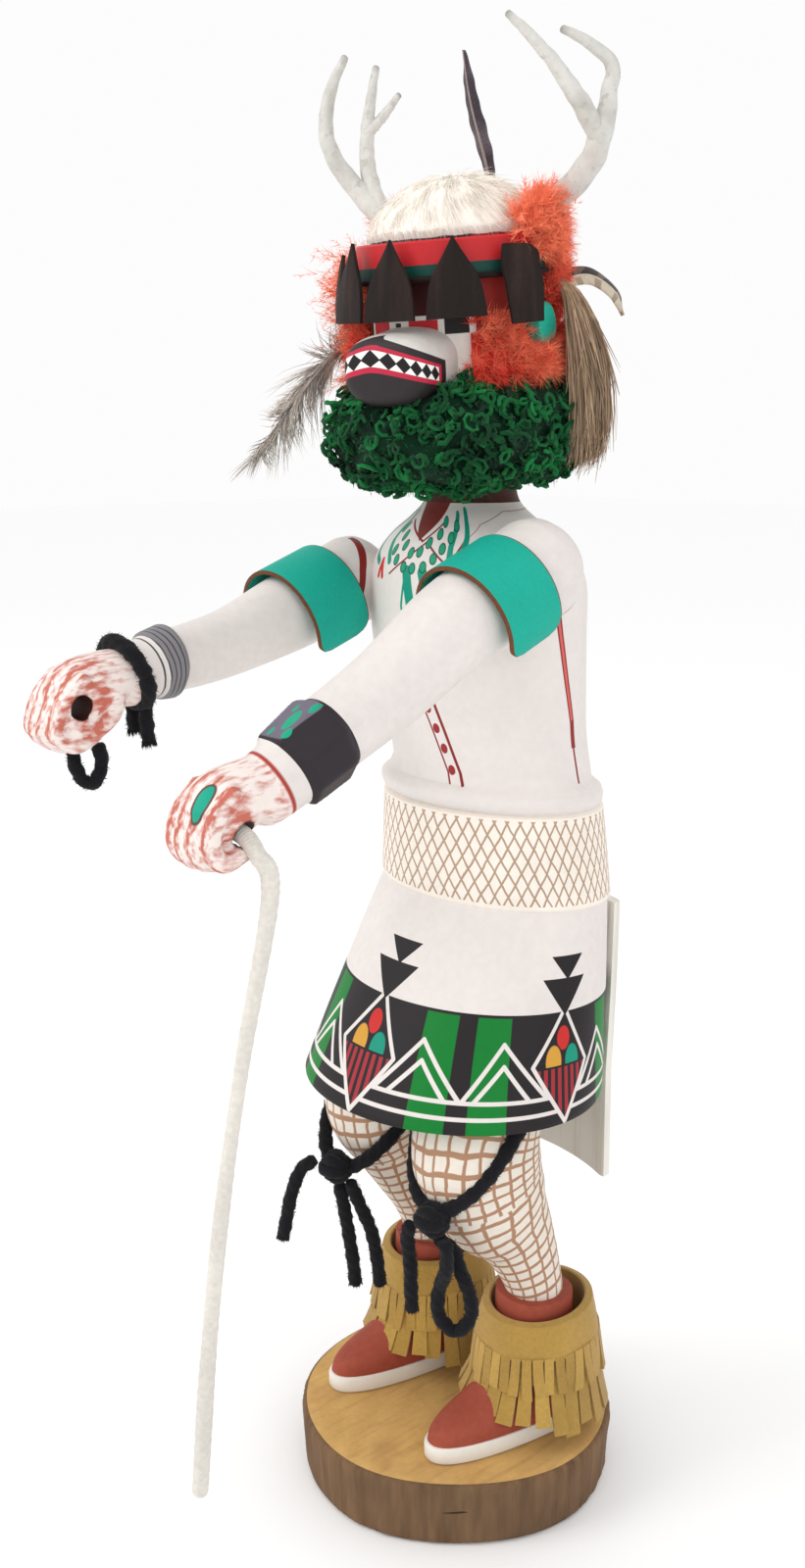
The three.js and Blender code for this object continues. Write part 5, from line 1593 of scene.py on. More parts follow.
def plumes(roots, ways, reach, tone, barbs, width):
    # Downy feathers on the mask: fine barbs along a soft line
    roots, ways = onHead(roots), turnedWithHead(ways)
    count = len(roots)
    ways = unit(ways)
    s = draw.uniform(0.05, 1, (count, barbs))
    helper = unit(np.cross(ways, draw.normal(size=(count, 3))))
    other = np.cross(ways, helper)
    sag = draw.normal(size=(count, 3)) * 0.18
    bend = ways[:, None] * s[..., None] + sag[:, None] * (s**2)[..., None]
    spine = roots[:, None] + bend * reach[:, None, None]
    turn = draw.uniform(-pi, pi, (count, barbs))
    out = between(helper[:, None], other[:, None], turn)
    lean = out * 0.7 + ways[:, None] * 0.95 + draw.normal(size=(count, barbs, 3)) * 0.2
    long = width * np.sin(pi * np.clip(s * 0.85 + 0.15, 0, 1))
    long = long * draw.uniform(0.55, 1.25, (count, barbs)) + 0.6
    total = count * barbs
    droop = draw.normal(size=(total, 3)) * 0.5
    tone = np.clip(np.repeat(tone, barbs) + draw.normal(0, 0.14, total), 0, 1)
    return spikes(spine.reshape(-1, 3), lean.reshape(-1, 3), long.reshape(-1), np.full(total, 0.1), droop,
                  tone, steps=1)


def makeCollar():
    start, low = fluff["from"], ruffTop - 1
    a = np.linspace(start, 2 * pi - start, 80)
    rings = []
    for t in a:
        wave = 1 + 0.06 * np.sin(9 * t)
        section = [(head["radius"] - 1, low - 2),
                   (head["radius"] + fluff["collarReach"] * wave * 0.38, low - 0.5),
                   (head["radius"] + fluff["collarReach"] * 0.3 * wave, low + 2.5),
                   (head["radius"] + 0.7, low + fluff["collarHeight"] * 0.7),
                   (head["radius"] - 1, low + fluff["collarHeight"] * 0.7)]
        rings.append(swept(t, section))
    core = skin(onHead(rings), around(5), a, tone=0)
    count = fluff["collarPlumes"]
    t = draw.uniform(start - 0.05, 2 * pi - start + 0.05, count)
    # It stays low under the ear plugs, and it stands higher on the right cheek
    rise = draw.uniform(0, 1, count) * np.where(np.abs(np.abs(pi - t) - pi / 2) < 0.34, 0.42, 1)
    rise = rise * np.where(t > 2 * pi - 1.35, 1.5, 1)
    radius = head["radius"] + mix(fluff["collarReach"] * 0.5, 0.3, np.minimum(rise, 1))
    flat = levelWay(t)
    roots = flat * radius[:, None] + raised(low + rise * (fluff["collarHeight"] - 1))
    # They sweep back from the face towards the ears
    back = np.where(t < pi, 1.0, -1.0)[:, None] * np.stack([np.cos(t), np.sin(t), np.zeros(count)], -1)
    ways = flat * 0.42 + back * 0.4 + raised(rise * 0.9 - 0.45) + draw.normal(size=(count, 3)) * 0.36
    tone = np.clip(0.45 + 0.3 * np.sin(t * 5 + rise * 3) + draw.normal(0, 0.2, count), 0, 1)
    reach = draw.uniform(2, 5.5, count) * np.where(t > 2 * pi - 1.35, 2.1, 1)
    soft = plumes(roots, ways, reach, tone, 28, 4.8)
    return joined(core, soft)


def makeTuft(side):
    low = ruffTop + fluff["collarHeight"] - 1 + 2 * figure["gap"]
    rings = []
    span = np.linspace(1.82, 2.75, 24)
    for i, t in enumerate(span * sideSign[side]):
        share = i / 23
        rise = fluff["tuftHeight"] * (0.72 + 0.28 * np.sin(pi * (share * 5 + 1) / 6))
        wave = fluff["tuftThickness"] * (1 + 0.2 * np.sin(share * 5 * 2.3)) * 0.35
        section = [(head["radius"] - 5, low), (head["radius"] + wave * 0.7, low),
                   (head["radius"] + wave, low + rise * 0.55), (head["radius"] - 1, low + rise * 0.75),
                   (head["radius"] - 5, low + rise * 0.75)]
        rings.append(swept(t, section))
    core = skin(onHead(rings), around(5), span, tone=0)
    count = fluff["tuftPlumes"]
    # Loose wisps also spread forward past the ear, low on the right and over the visor's end on the left
    forward = draw.uniform(size=count) < 0.3
    start = 1.15 if side == "right" else 1.36
    t = sideSign[side] * np.where(forward, draw.uniform(start, 1.8, count),
                                  draw.uniform(1.72, 2.8, count))
    rise = draw.uniform(0, 1, count) ** 0.8
    radius = head["radius"] + fluff["tuftThickness"] * 0.2
    flat = levelWay(t)
    rise = np.where(forward, rise * 0.85 - 0.3 if side == "right" else rise * 0.45 + 0.5, rise)
    roots = flat * radius + raised(low + rise * fluff["tuftHeight"] * 0.86)
    ways = flat * 0.55 + raised(draw.uniform(-0.2, 1, count)) + draw.normal(size=(count, 3)) * 0.45
    reach = np.where(forward, draw.uniform(6, 11, count) * (1.5 if side == "right" else 1),
                     draw.uniform(3, 7, count))
    ways = ways + flat * np.where(forward & (side == "right"), 1.0, 0)[:, None]
    tone = np.clip(np.where(forward, 0.95, 0.15 + rise * 0.75), 0, 1)
    soft = plumes(roots, ways, reach, tone, 30, 5.0)
    return joined(core, soft)


featherRed = toned("redFeather", (212, 40, 27), (255, 146, 106), 0.9, 0.1, vary=0.2, scale=300.0)
makePiece("featherCollar", makeCollar(), featherRed, ["feather_collar"], sharp=80)
for side in sideSign:
    makePiece(f"featherTuft_{side}", makeTuft(side), featherRed, [f"feather_tuft_{side}"],
              sharp=80)

earBundles = {
    "left": [(28, 8, 39, 2.2, 1.4), (31.5, 9.5, 33, 4.4, 2.2), (35.5, 8.5, 22, 5.8, 2.6),
             (38, 6, 9, 5.6, 2.6), (38, 3.6, -3, 4, 2.2), (36.5, 2.4, -9, 2, 1.4)],
    "right": [(-30, -1, 29, 1.6, 1.2), (-35, -8, 24.5, 3.4, 1.5), (-41, -14.5, 18, 4.6, 1.6),
              (-48, -21, 8, 4.4, 1.5), (-55, -26.5, -4, 2, 1.1)],
}


def bundleRows(side, t):
    knots = np.array([(*onHead(knot[:3]), *knot[3:]) for knot in earBundles[side]])
    rows = curve(knots, t)
    ahead = heading(knots[:, :3], t)
    high = unit(np.cross(ahead, (0, 1, 0)))
    return rows, ahead, high, np.cross(high, ahead)


bundle = {"strands": 1850, "locks": 64, "barbs": 13, "down": 150}


def makeHairBundle():
    # Long brown hair tied at the ear, drawn as many strands that follow the bundle
    count, steps = bundle["strands"], 8
    start = draw.uniform(0, 0.3, count)
    end = draw.uniform(0.5, 1.02, count)
    s = start[:, None] + (end - start)[:, None] * np.linspace(0, 1, steps)[None]
    rows, _, high, wide = bundleRows("left", s.ravel())
    turn = np.repeat(draw.uniform(-pi, pi, count), steps)
    off = np.repeat(np.sqrt(draw.uniform(0, 1, count)), steps)
    off = off * np.interp(s.ravel(), [0, 0.3, 1], [0.6, 0.95, 1.2])
    gone = np.linspace(0, 1, steps)
    stray = np.repeat(draw.normal(size=(count, 3)) * 1.7, steps, 0) * np.tile(gone**2, count)[:, None]
    bend = np.tile(np.sin(np.linspace(0, pi, steps)), count)
    bend = bend * np.repeat(draw.normal(0, 0.7, count), steps)
    line = (rows[:, :3] + wide * (rows[:, 3] * off * np.cos(turn))[:, None]
            + high * (rows[:, 4] * off * np.sin(turn))[:, None] + stray + wide * bend[:, None])
    radius = np.interp(gone, [0, 0.7, 1], [0.2, 0.17, 0.04])[None] * draw.uniform(0.6, 1.3, (count, 1))
    flat = draw.normal(size=(count, 3))
    return tubes(line.reshape(count, steps, 3), radius, flat, draw.uniform(0, 1, count), sides=3)


def makeBarbedFeather():
    # A drooping feather with long loose barbs
    rows = bundleRows("right", np.linspace(0, 1, 50))[0]
    stem = quill(rows[:, :3], 0.75, 0.15, (0, 1, 0), 0.2)
    # Loose barbs hang together in locks
    locks, each = bundle["locks"], bundle["barbs"]
    count = locks * each
    middle = draw.uniform(0.06, 1, locks)
    s = np.clip(np.repeat(middle, each) + draw.normal(0, 0.025, count), 0.02, 1)
    rows, ahead, high, wide = bundleRows("right", s)
    way = np.repeat(np.where(draw.uniform(size=locks) < 0.5, -1.0, 1.0), each)
    flatness = way[:, None] * wide + np.repeat(draw.normal(0, 0.5, locks), each)[:, None] * high
    ways = flatness * 0.7 + ahead * np.repeat(draw.uniform(0.6, 1.3, locks), each)[:, None]
    ways = ways + draw.normal(0, 0.1, (count, 3))
    reach = (3.6 + rows[:, 3] * 1.5) * np.repeat(draw.uniform(0.6, 1.3, locks), each)
    reach = reach * draw.uniform(0.75, 1.15, count)
    swing = np.repeat(draw.normal(0, 0.28, (locks, 3)) + (0, 0, -0.25), each, 0) * reach[:, None]
    tone = np.clip(np.repeat(draw.uniform(0.2, 1.1, locks), each) + draw.normal(0, 0.12, count), 0, 1)
    barbs = spikes(rows[:, :3], ways, reach, np.full(count, 0.17), swing, tone, steps=6, curl=0.05)
    # Curly dark down above the tie
    count = bundle["down"]
    s = draw.uniform(0, 0.35, count)
    rows = bundleRows("right", s)[0]
    ways = draw.normal(size=(count, 3)) * 0.6 + (-0.5, -0.2, 0.9)
    down = spikes(rows[:, :3], ways, draw.uniform(4, 10, count), np.full(count, 0.14),
                  draw.normal(size=(count, 3)) * 1.5, draw.uniform(0, 0.6, count), steps=5, curl=0.2)
    return joined(stem, barbs, down)


hairBrown = toned("brownHair", (104, 82, 62), (196, 168, 138), 0.85, 0.1, vary=0.15, scale=500.0)
makePiece("earHair_left", makeHairBundle(), hairBrown, ["ear_feathers_left"], sharp=80)
featherFar = toned("dunFeather", (84, 70, 62), (226, 216, 206), 0.85, 0.1, vary=0.15, scale=500.0)
makePiece("earFeather_right", makeBarbedFeather(), featherFar, ["ear_feathers_right"],
          sharp=80)

curlKnots = [(12, 25.5, 33, 2.2), (15, 31, 38, 3), (19.5, 38.5, 39, 3.4), (24.5, 43.5, 34, 3.2),
             (26.5, 45, 27.5, 2)]


def makeCurl():
    # A narrow feather that arches back, with a dark and a pale web
    t = np.linspace(0, 1, 46)
    rows = curve([(*onHead(knot[:3]), knot[3]) for knot in curlKnots], t)
    ahead = unit(np.gradient(rows[:, :3], axis=0))
    wide = unit(np.cross(ahead, (0, 0, 1)) * 0.35 + np.cross(ahead, (1, 0, 0)) * 0.9)
    high = np.cross(ahead, wide)
    parts = []
    for side, tone, share in ((-1, 0.1, 1.0), (1, 0.9, 0.8)):
        half = rows[:, 3] * share * np.interp(t, [0, 0.08, 0.8, 1], [0.2, 1, 0.8, 0.1])
        s = np.linspace(0, 1, 7)
        sweep = ahead[:, None] * (half[:, None] * s)[..., None] * 0.5
        drop = high[:, None] * (0.9 * s**2)[None, :, None]
        sheet = rows[:, None, :3] + side * wide[:, None] * (half[:, None] * s)[..., None] + sweep + drop
        thick = high[:, None] * 0.16
        loops = np.concatenate([sheet + thick, (sheet - thick)[:, ::-1]], 1)
        parts.append(skin(loops, around(14), t * 34, caps="ladder", tone=tone))
    return joined(*parts, quill(rows[:, :3], 0.6, 0.2, (1, 0, 0), 1.0))


striped = Finish("stripedFeather", 0.6, 0.2)
_, upWeb, _ = striped.painted()
stripe = (upWeb * 0.9 + striped.noise(90.0) * 5.0).wave()
striped.colour = striped.over(paint(34, 30, 28), striped.tone().above(0.5), paint(206, 196, 176))
striped.lay(stripe.above(0.35, 0.3) * 0.6, paint(120, 104, 84))
striped.close(vary=0.2, scale=900.0, relief=0.6, depth=0.1)
makePiece("curledFeather", makeCurl(), striped.material, ["curled_feather"], sharp=60)
print("stage: ruff and feathers")


# Arms with their hands, armbands and wrist yarn

arm = {
    "shoulderHalf": 37,
    "shoulderDrop": 17,
    "shoulderY": {"left": body["chest"][2] - 15.5, "right": body["chest"][2] - 15},
    "shoulderRadius": 14.3,
    "upperRadius": 13,
    "forearmRadius": 10.8,
    "wristRadius": 9.2,
    "fistHalfWidth": 8.6,
    "fistHalfHeight": 9.8,
    "holeRadius": 3.3,
    "drop": np.radians(14),
    "tilt": np.radians(26),
    "holePlace": {"left": (-1.1, -4.9), "right": (-4, 0.2)},
    "voxel": 0.72,
}
shoulderZ = neckZ - arm["shoulderDrop"]
sr, ur, fr, wr = (arm[name] for name in ("shoulderRadius", "upperRadius", "forearmRadius", "wristRadius"))
armKnots = {
    "left": [(0, 0, -0.5, sr), (0.5, -16.5, -6.5, ur), (0.5, -33, -14, ur * 0.94), (-0.5, -53.5, -27, fr),
             (-1.5, -76, -38.6, fr * 0.92), (-2, -85, -44, wr), (-3, -92, -47.8, wr * 0.96)],
    "right": [(1, 0, -8, sr * 0.94), (1.5, -13, -12, ur * 0.95), (1.5, -27, -16.8, ur * 0.88),
              (0, -47, -22.5, fr * 0.9), (-1.5, -62, -25, fr * 0.84), (-3, -74, -26, wr * 0.93),
              (-4, -86, -28.5, wr * 0.9)],
}


def armLine(side):
    return np.array([(sideSign[side] * (arm["shoulderHalf"] + out), arm["shoulderY"][side] + y,
                      shoulderZ + z, r)
                     for out, y, z, r in armKnots[side]])


def handFrame(side):
    reach = arm["fistHalfWidth"] * (1.3 if side == "left" else 1.75)
    made = turnedAbout("X", arm["tilt"])
    made[:3, 3] = armLine(side)[-1, :3] + (0, -reach * np.cos(arm["drop"]), -reach * np.sin(arm["drop"]))
    return made


def inHand(side, points):
    hand = handFrame(side)
    return np.asarray(points, float) @ hand[:3, :3].T + hand[:3, 3]


def handShapes(side):
    wide, high, wrist = arm["fistHalfWidth"], arm["fistHalfHeight"], arm["wristRadius"]
    palm = limb([(0, 13, -2.2, wrist * 0.86, wrist * 0.86), (0, 7.5, 0, wide * 0.98, high * 0.82),
                 (0, 0, 1, wide, high * 0.9), (0, -6, 0, wide * 0.93, high * 0.72)], 16, 28, endRound=0.5)
    thick = wide / 4 + 0.45
    parts = [palm]
    if side == "right":
        # The palm under the curled fingers is solid
        palm = [(-wide * 0.85, -6.4, -high * 0.42, 3.6), (wide * 0.85, -6.4, -high * 0.42, 3.6)]
        parts.append(limb(palm, 8, 16, (0, 1, 0), endRound=0.5))
    for i, place in enumerate((-1.5, -0.5, 0.5, 1.5)):
        x = place * wide / 2
        reach = (1, 1.07, 1.05, 0.94)[i if side == "left" else 3 - i]
        # The right fist comes to a flatter front than the left one
        if side == "left":
            bones = [(1, 0.58, 1), (-6, 0.34, 1), (-10.8, -0.18, 1), (-9.8, -0.76, 0.96),
                     (-3, -0.88, 0.9)]
        else:
            bones = [(1, 0.6, 1), (-7, 0.3, 1), (-12.6, -0.2, 0.95), (-12.2, -0.45, 0.9),
                     (-9.4, -0.86, 0.9), (-3, -0.9, 0.9)]
        parts.append(limb([(x, y * reach, high * z, thick * size) for y, z, size in bones], 22, 14,
                          endRound=0.5))
    inner = -sideSign[side]
    parts.append(limb([(inner * 5, 10, -2, 2.6), (inner * 8, 3, -6, 2.8), (inner * 6.5, -5, -8.5, 2.4)],
                      10, 14, (0, 1, 0), endRound=0.7))
    return [moved(part, handFrame(side)) for part in parts]


def wristBand(side):
    # The bow guard on the left wrist has eight flat sides, and the bracelet on the right is round
    start, end = (3.8, 4.98) if side == "left" else (4.72, 5.3)
    sides = 8 if side == "left" else 32
    proud = 1.8 if side == "left" else 1.1
    line = armLine(side)[:, :3]
    rings = []
    for i, share in enumerate((0, 0.06, 0.94, 1)):
        t = mix(start, end, share) / (len(line) - 1)
        high = unit(np.cross(heading(line, t), (1, 0, 0)))
        radius = (mix(fr * 0.95, wr, share) + proud) * (1 if side == "left" else 0.93)
        radius = radius - (0.9 if i % 3 == 0 else 0)
        a = 2 * pi * (np.arange(sides) + 0.5) / sides
        rings.append(curve(line, t) + np.outer(radius * np.cos(a), (1, 0, 0))
                     + np.outer(radius * np.sin(a), high))
    return skin(rings)


def evaluated(piece):
    return bpy.data.meshes.new_from_object(piece.evaluated_get(bpy.context.evaluated_depsgraph_get()))


def makeArm(side):
    shape = joined(limb(armLine(side), 60, 44), *handShapes(side), wristBand(side))
    rough = linkObject("armRough", meshOf("armRough", shape))
    remesh = rough.modifiers.new("join", "REMESH")
    remesh.mode = "VOXEL"
    remesh.voxel_size = arm["voxel"] * mm
    smooth = rough.modifiers.new("soften", "SMOOTH")
    smooth.factor = 0.5
    smooth.iterations = 3
    hole = tubes([holeLine(side, arm["fistHalfWidth"] * 2.4)], [[arm["holeRadius"]] * 2], [(0, 0, 1)],
                 [0.5], 32)
    cutter = linkObject("holeCut", meshOf("holeCut", hole))
    cut = rough.modifiers.new("hole", "BOOLEAN")
    cut.operation = "DIFFERENCE"
    cut.solver = "EXACT"
    cut.object = cutter
    made = evaluated(rough)
    bpy.data.objects.remove(rough)
    bpy.data.objects.remove(cutter)
    made.name = f"carvedArm_{side}"
    return made


def holeLine(side, reach):
    # The middle of the fist's hole, from side to side
    y, z = arm["holePlace"][side]
    return inHand(side, [(-reach, y, z), (reach, y, z)])


def paintArm(mesh, side):
    # The painted place: millimetres along the arm, across it and above its middle line
    count = len(mesh.vertices)
    at = np.zeros(count * 3)
    mesh.vertices.foreach_get("co", at)
    at = at.reshape(-1, 3) / mm
    line = curve(armLine(side)[:, :3], np.linspace(0, 1, 400))
    end = line[-1]
    ahead = unit(end - line[-8])
    line = np.vstack([line, end + ahead * np.linspace(0.3, 32, 100)[:, None]])
    gone = distances(line)
    nearest = np.concatenate([np.argmin(((some[:, None] - line[None]) ** 2).sum(-1), 1)
                              for some in np.array_split(at, 40)])
    ways = unit(np.gradient(line, axis=0))
    off = at - line[nearest]
    high = unit(np.cross(ways[nearest], (1, 0, 0)))
    place = np.stack([gone[nearest] + np.einsum("ij,ij->i", off, ways[nearest]),
                      off[:, 0] * sideSign[side], np.einsum("ij,ij->i", off, high)], -1)
    mesh.attributes.new("painted", "FLOAT_VECTOR", "POINT").data.foreach_set("vector", place.ravel())
    # The tone is 1 inside the fist's hole, which is painted dark as painted shade
    hole = holeLine(side, 1.0)
    way = unit(hole[1] - hole[0])
    away = at - hole.mean(0)
    away = away - np.outer(away @ way, way)
    bored = np.linalg.norm(away, axis=1) < arm["holeRadius"] + 0.1
    mesh.attributes.new("tone", "FLOAT", "POINT").data.foreach_set("value", bored.astype(float))


def makeArmFinish(side):
    made = Finish(f"armPaint_{side}", 0.5)
    along, across, above = made.painted()
    white = bodyPaint["white"]
    start = 100.6 if side == "left" else 88.5
    # Hands are white brushed over brick, with the brick left bare between the fingers
    brush = made.noise(680.0, 7, (1.5, 0.3, 0.8))
    lanes = ((across + 0.4) * (2 * pi / 4.3)).wave() * 0.5 + 0.5
    bare = (brush + lanes * 0.24 * along.above(start + 9, 3.0)).above(0.5, 0.24)
    hand = made.over(paint(236, 224, 218), bare, paint(192, 106, 90))
    # Inside the fist's hole a dark brick is painted shade
    hand = made.over(hand, made.tone(), paint(74, 34, 28))
    made.colour = made.over(white, along.above(start, 0.3), hand)
    made.lay(along.within(start - 0.9, start + 0.7, 0.5), paint(168, 62, 52))
    seam = bodyPaint["darkRed"]
    if side == "left":
        guard = along.within(80.0, 95.8)
        made.lay(guard, paint(44, 38, 43))
        made.lay(guard.least(above.above(10.0, 0.2)), paint(106, 100, 114))
        spot = made.place(along, across)
        stones = [(88.5, 1.4, 3.2, 1.7), (83.3, 4.2, 2.2, 1.0), (85.2, -1.1, 1.2, 0.6),
                  (92.2, 3.8, 1.7, 1.1), (92.8, -1.6, 1.5, 0.7)]
        made.lay(made.dabs(spot, stones).least(above.above(8)), paint(20, 158, 124))
        ring = (119.5, 5.4)
        made.lay(made.dabs(spot, [(*ring, 5.0, 2.1)]).least(above.above(3)), paint(96, 66, 56))
        made.lay(made.dabs(spot, [(*ring, 4.3, 1.5)]).least(above.above(3)), paint(18, 160, 134))
        under = made.strokes(made.place(along, above), [[(9.3, -11.7), (1.9, -12.2), (-1, -9.5)]], 0.7)
        made.lay(under.least(across.above(2)), seam)
    else:
        band = along.within(73.2, 80.6)
        rays = (along * 4.2 + made.noise(90.0) * 6.0).wave().above(0.55, 0.3)
        made.lay(band, made.over(paint(128, 126, 130), rays, paint(66, 62, 66)))
        made.lay(along.within(81.4, 82.0), paint(70, 66, 66))
        cut = made.strokes(made.place(along, above),
                           [[(-1, 12.5), (4.5, 5.2), (8.3, -1.6), (10.1, -8.3)]], 2.1)
        made.lay(cut.least(across.below(-2)), seam)
    return made.close(vary=0.08, relief=0.25)


armPaint = {side: makeArmFinish(side) for side in sideSign}
for side in sideSign:
    mesh = makeArm(side)
    paintArm(mesh, side)
    dressPiece(linkObject(f"carvedArm_{side}", mesh), armPaint[side], [f"arm_{side}"], 50)

band = {"width": 20, "thickness": 1.2, "slack": 2.4, "opening": np.radians(112), "corner": 4.5}


def makeArmband(side):
    line = armLine(side)[:, :3]
    t = (1.12 if side == "left" else 1.4) / (len(line) - 1)
    ahead = heading(line, t)
    tilt = np.arctan2(-ahead[2], -ahead[1])
    inner = arm["upperRadius"] + band["slack"]
    outer = inner + band["thickness"]
    span = np.linspace(band["opening"] / 2, 2 * pi - band["opening"] / 2, 100)
    # Its ends are rounded, so the width narrows towards them
    edge = np.minimum(span - span[0], span[-1] - span) * inner
    corner = band["corner"]
    inset = np.where(edge < corner, corner - np.sqrt(np.maximum(0, corner**2 - (corner - edge) ** 2)), 0)
    rings, finish = [], [0, 1, 1, 1, 2, 1, 1, 1]
    for a, cut in zip(span, inset):
        half = band["width"] / 2 - cut * 0.95
        flare = 0.5 * (1 - np.cos((a - pi) * 0.9))
        r0, r1 = inner + flare * 0.4, outer + flare * 0.4
        section = [(r1, -half + 0.5), (r1, half - 0.5), (r1 - 0.1, half - 0.1), (r0 + 0.1, half),
                   (r0, half - 0.3), (r0, -half + 0.3), (r0 + 0.1, -half), (r1 - 0.1, -half + 0.1)]
        rings.append(swept(a, section))
    made = skin(rings, around(8), span)
    (faces, places, _), *ends = made["blocks"]
    order = np.array(finish)[np.arange(len(faces)) % 8]
    blocks = [(faces[order == number], places[order == number], number) for number in (0, 1, 2)]
    blocks += [(f, p, 1) for f, p, _ in ends]
    place = shifted(curve(line, t) + (0, 0, figure["gap"] - band["slack"]))
    return moved({**made, "blocks": blocks}, place @ turnedAbout("X", pi / 2 + tilt))


bandFinishes = [
    plain("armbandTurquoise", (20, 166, 146), 0.65, vary=0.12, scale=900.0, relief=0.5),
    plain("armbandEdge", (104, 64, 40), 0.7, vary=0.3, scale=800.0),
    plain("armbandLining", (30, 140, 122), 0.8, vary=0.3, scale=400.0),
]
for side in sideSign:
    makePiece(f"leatherArmband_{side}", makeArmband(side), bandFinishes, [f"armband_{side}"])


def makeWristYarn():
    radius = arm["wristRadius"] * 0.86 + yarn["radius"] * 0.6
    a = np.linspace(0, 2 * pi, 60)
    ring = np.stack([radius * np.cos(a), 16 + 0 * a, -2.6 + radius * np.sin(a)], -1)
    ring[:, 1] += 0.1 * (ring[:, 2] + 2.6)
    parts = [yarnTube(inHand("right", ring), yarn["radius"] * 1.05)]
    for across, length in ((-3.4, 10), (3, 13)):
        foot = inHand("right", (across, 15.4, -radius - 2.4))
        line = foot + np.array([[0, t, -length * t] for t in np.linspace(-0.15, 0.85, 12)])
        parts.append(yarnTube(line, yarn["radius"] * 0.95, brush=2.6))
    return joined(*parts)


def makePalmYarn():
    foot = inHand("right", (0, -2.6, -arm["fistHalfHeight"] - yarn["radius"]))
    knots = [(-2.6, -3, -0.6), (-2.4, -3.2, -6), (-1, -1.6, -11), (1, 0.8, -11.4), (2.2, 2.4, -6.4),
             (2, 1.6, -1)]
    return yarnTube(foot + curve(knots, np.linspace(0, 1, 40)), yarn["radius"] * 0.9)


makePiece("wristYarn", makeWristYarn(), yarnBlack, ["wrist_tie"])
makePiece("palmYarn", makePalmYarn(), yarnBlack, ["palm_loop"])
print("stage: arms, armbands and wrist yarn")


# Cane, back panel and suede cuffs

cane = {"radius": 2.0, "length": 165, "bow": 3.6}


def makeCane():
    x, y, z = inHand("left", (0, *arm["holePlace"]["left"]))
    wide, thick = arm["fistHalfWidth"], cane["radius"]
    bend = np.array([x + wide + 3.4, y + 3, z - 14.5])
    foot = bend + (-23, -9, -cane["length"])
    knots = [(x - wide * 0.6, y, z, thick * 1.1), (x + wide * 0.6, y, z, thick * 1.1),
             (x + wide + 1.8, y + 0.6, z - 4, thick * 1.1), (*bend, thick * 1.1)]
    for t in (0.25, 0.5, 0.75, 1):
        spot = mix(bend, foot, t)
        knots.append((spot[0], spot[1] - cane["bow"] * np.sin(pi * t), spot[2],
                      thick * mix(0.82, 1.1, t)))

    def wrapped(t, a):
        # Cotton wound round the stick
        return 1 + 0.03 * np.sin(t * 420 + a) + 0.03 * np.sin(t * 35 + 2 * a)

    return limb(knots, 260, 20, (0, 1, 0), knurl=wrapped)


makePiece("wrappedCane", makeCane(),
          plain("caneWrap", (214, 209, 200), 0.85, 0.2, vary=0.2, scale=700.0, relief=0.5), ["cane"],
          80)

panel = {"halfWidth": 32, "thickness": 3.4, "drop": 36}


def makePanel():
    low, high = hemZ - panel["drop"], waistZ - 6
    rings = []
    shares = np.concatenate([[0, 0.004], np.linspace(0.02, 1, 40)])
    s = np.linspace(-1, 1, 41)
    for share in shares:
        z = mix(low, high, share)
        halfX, halfY, y = kiltSize(max(0, (z - hemZ) / figure["kiltHeight"]))
        half = panel["halfWidth"] * mix(1, 0.95, share) - (0.7 if share == 0 else 0)
        x = half * s
        edge = 0.5 * np.clip((np.abs(s) - 0.975) / 0.025, 0, 1)

        def back(out):
            return y + (halfY + out) * np.sqrt(1 - (x / (halfX + 9 + out)) ** 2)

        outer = np.stack([x, back(figure["gap"] + panel["thickness"] - edge), np.full(41, z)], -1)
        inner = np.stack([x, back(0.2 + edge), np.full(41, z)], -1)
        rings.append(np.concatenate([outer, inner[::-1]]))
    return skin(rings, around(82), shares, caps="ladder")


panelPaint = Finish("panelPaint", 0.6)
plank = panelPaint.noise(300.0, 4, (1, 1, 0.05))
panelPaint.colour = panelPaint.over(paint(228, 224, 216), plank.above(0.5, 0.25) * 0.7,
                                    paint(200, 192, 178))
panelPaint.close(vary=0.08, scale=400.0, stretch=(1, 1, 0.1), relief=0.5, depth=0.2, height=plank.socket)
makePiece("backPanel", makePanel(), panelPaint.material, ["back_panel"])

cuff = {"height": 37, "topRadius": 15.4, "flare": 5.4, "thickness": 1.2,
        "tiers": ((10.5, 12.5, 36), (14, 21.5, 26))}


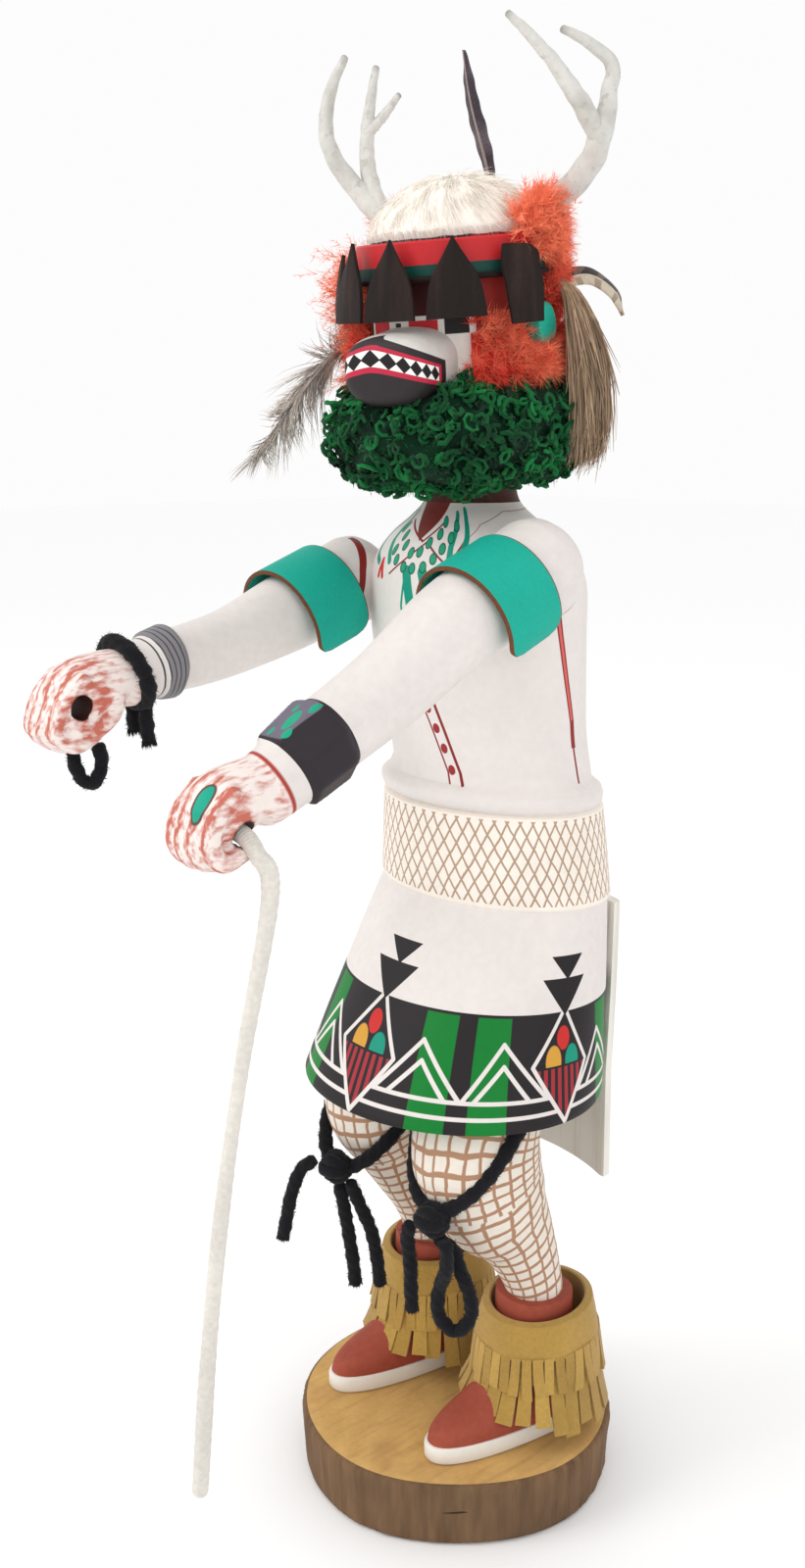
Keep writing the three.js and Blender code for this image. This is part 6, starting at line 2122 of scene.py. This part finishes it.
def cuffPoint(side, a, drop, out):
    # a is 0 in front and runs to +X, and drop is millimetres below the cuff's top
    x, y = ankleOf(side)
    top = standZ + body["moccasinHeight"] - 4
    share = np.clip(drop / cuff["height"], 0, 1.1)
    radius = cuff["topRadius"] + cuff["flare"] * share + out
    z = top - drop - 1.6 * np.cos(a) * (1 - share) + 1.2
    return np.stack([x + radius * np.sin(a), y + 1.5 - 1.06 * radius * np.cos(a), z], -1)


def makeCuff(side):
    parts = []
    a = circle(96)
    thick = cuff["thickness"]
    rows = [(20, -thick), (0.3, -thick), (0, -thick * 0.5), (0.3, 0), (0.7, 1.2), (5, 1.7), (11.4, 1.8),
            (11.5, 0.6), (20, 0)]
    wave = 0.25 * np.sin(a * 7)
    rings = [cuffPoint(side, a, np.full(96, float(drop)), out + wave * (drop > 1)) for drop, out in rows]
    parts.append(skin(rings, around(96), caps=False))
    for tier, (start, long, count) in enumerate(cuff["tiers"]):
        lie = 1.5 if tier == 0 else 0.2
        for i in range(count):
            middle = -pi + 2 * pi * (i + 0.5) / count
            front = np.cos(middle)
            # In front the strips lie on the instep, so they end higher
            reach = long * draw.uniform(0.9, 1.08)
            if tier == 1 and front > 0.5:
                reach *= 0.8
            half = pi / count * draw.uniform(0.8, 0.93)
            drop = np.linspace(start, start + reach, 9)
            swing = draw.normal(0, 0.3) + (1.2 + 2.2 * max(front, 0)) * tier
            bend = lie + swing * np.linspace(0, 1, 9) ** 2
            sway = draw.normal(0, 0.035) * np.linspace(0, 1, 9) ** 2
            strip = []
            for d, out, shift in zip(drop, bend, sway):
                if d > cuff["height"]:
                    d = cuff["height"]
                edge = np.array([-half, half]) + middle + shift
                outer = cuffPoint(side, edge, np.full(2, float(d)), out + thick * 0.5)
                inner = cuffPoint(side, edge[::-1], np.full(2, float(d)), out - thick * 0.5)
                strip.append(np.concatenate([outer, inner]))
            parts.append(skin(strip, around(4), drop, tone=draw.uniform(0.2, 0.9)))
    return joined(*parts)


suedeTan = toned("tanSuede", (150, 116, 50), (186, 150, 74), 0.95, 0.2, vary=0.22, scale=900.0,
                 relief=0.6, depth=0.12)
for side in sideSign:
    makePiece(f"fringedCuff_{side}", makeCuff(side), suedeTan, [f"ankle_cuff_{side}"])
print("stage: cane, back panel and cuffs")
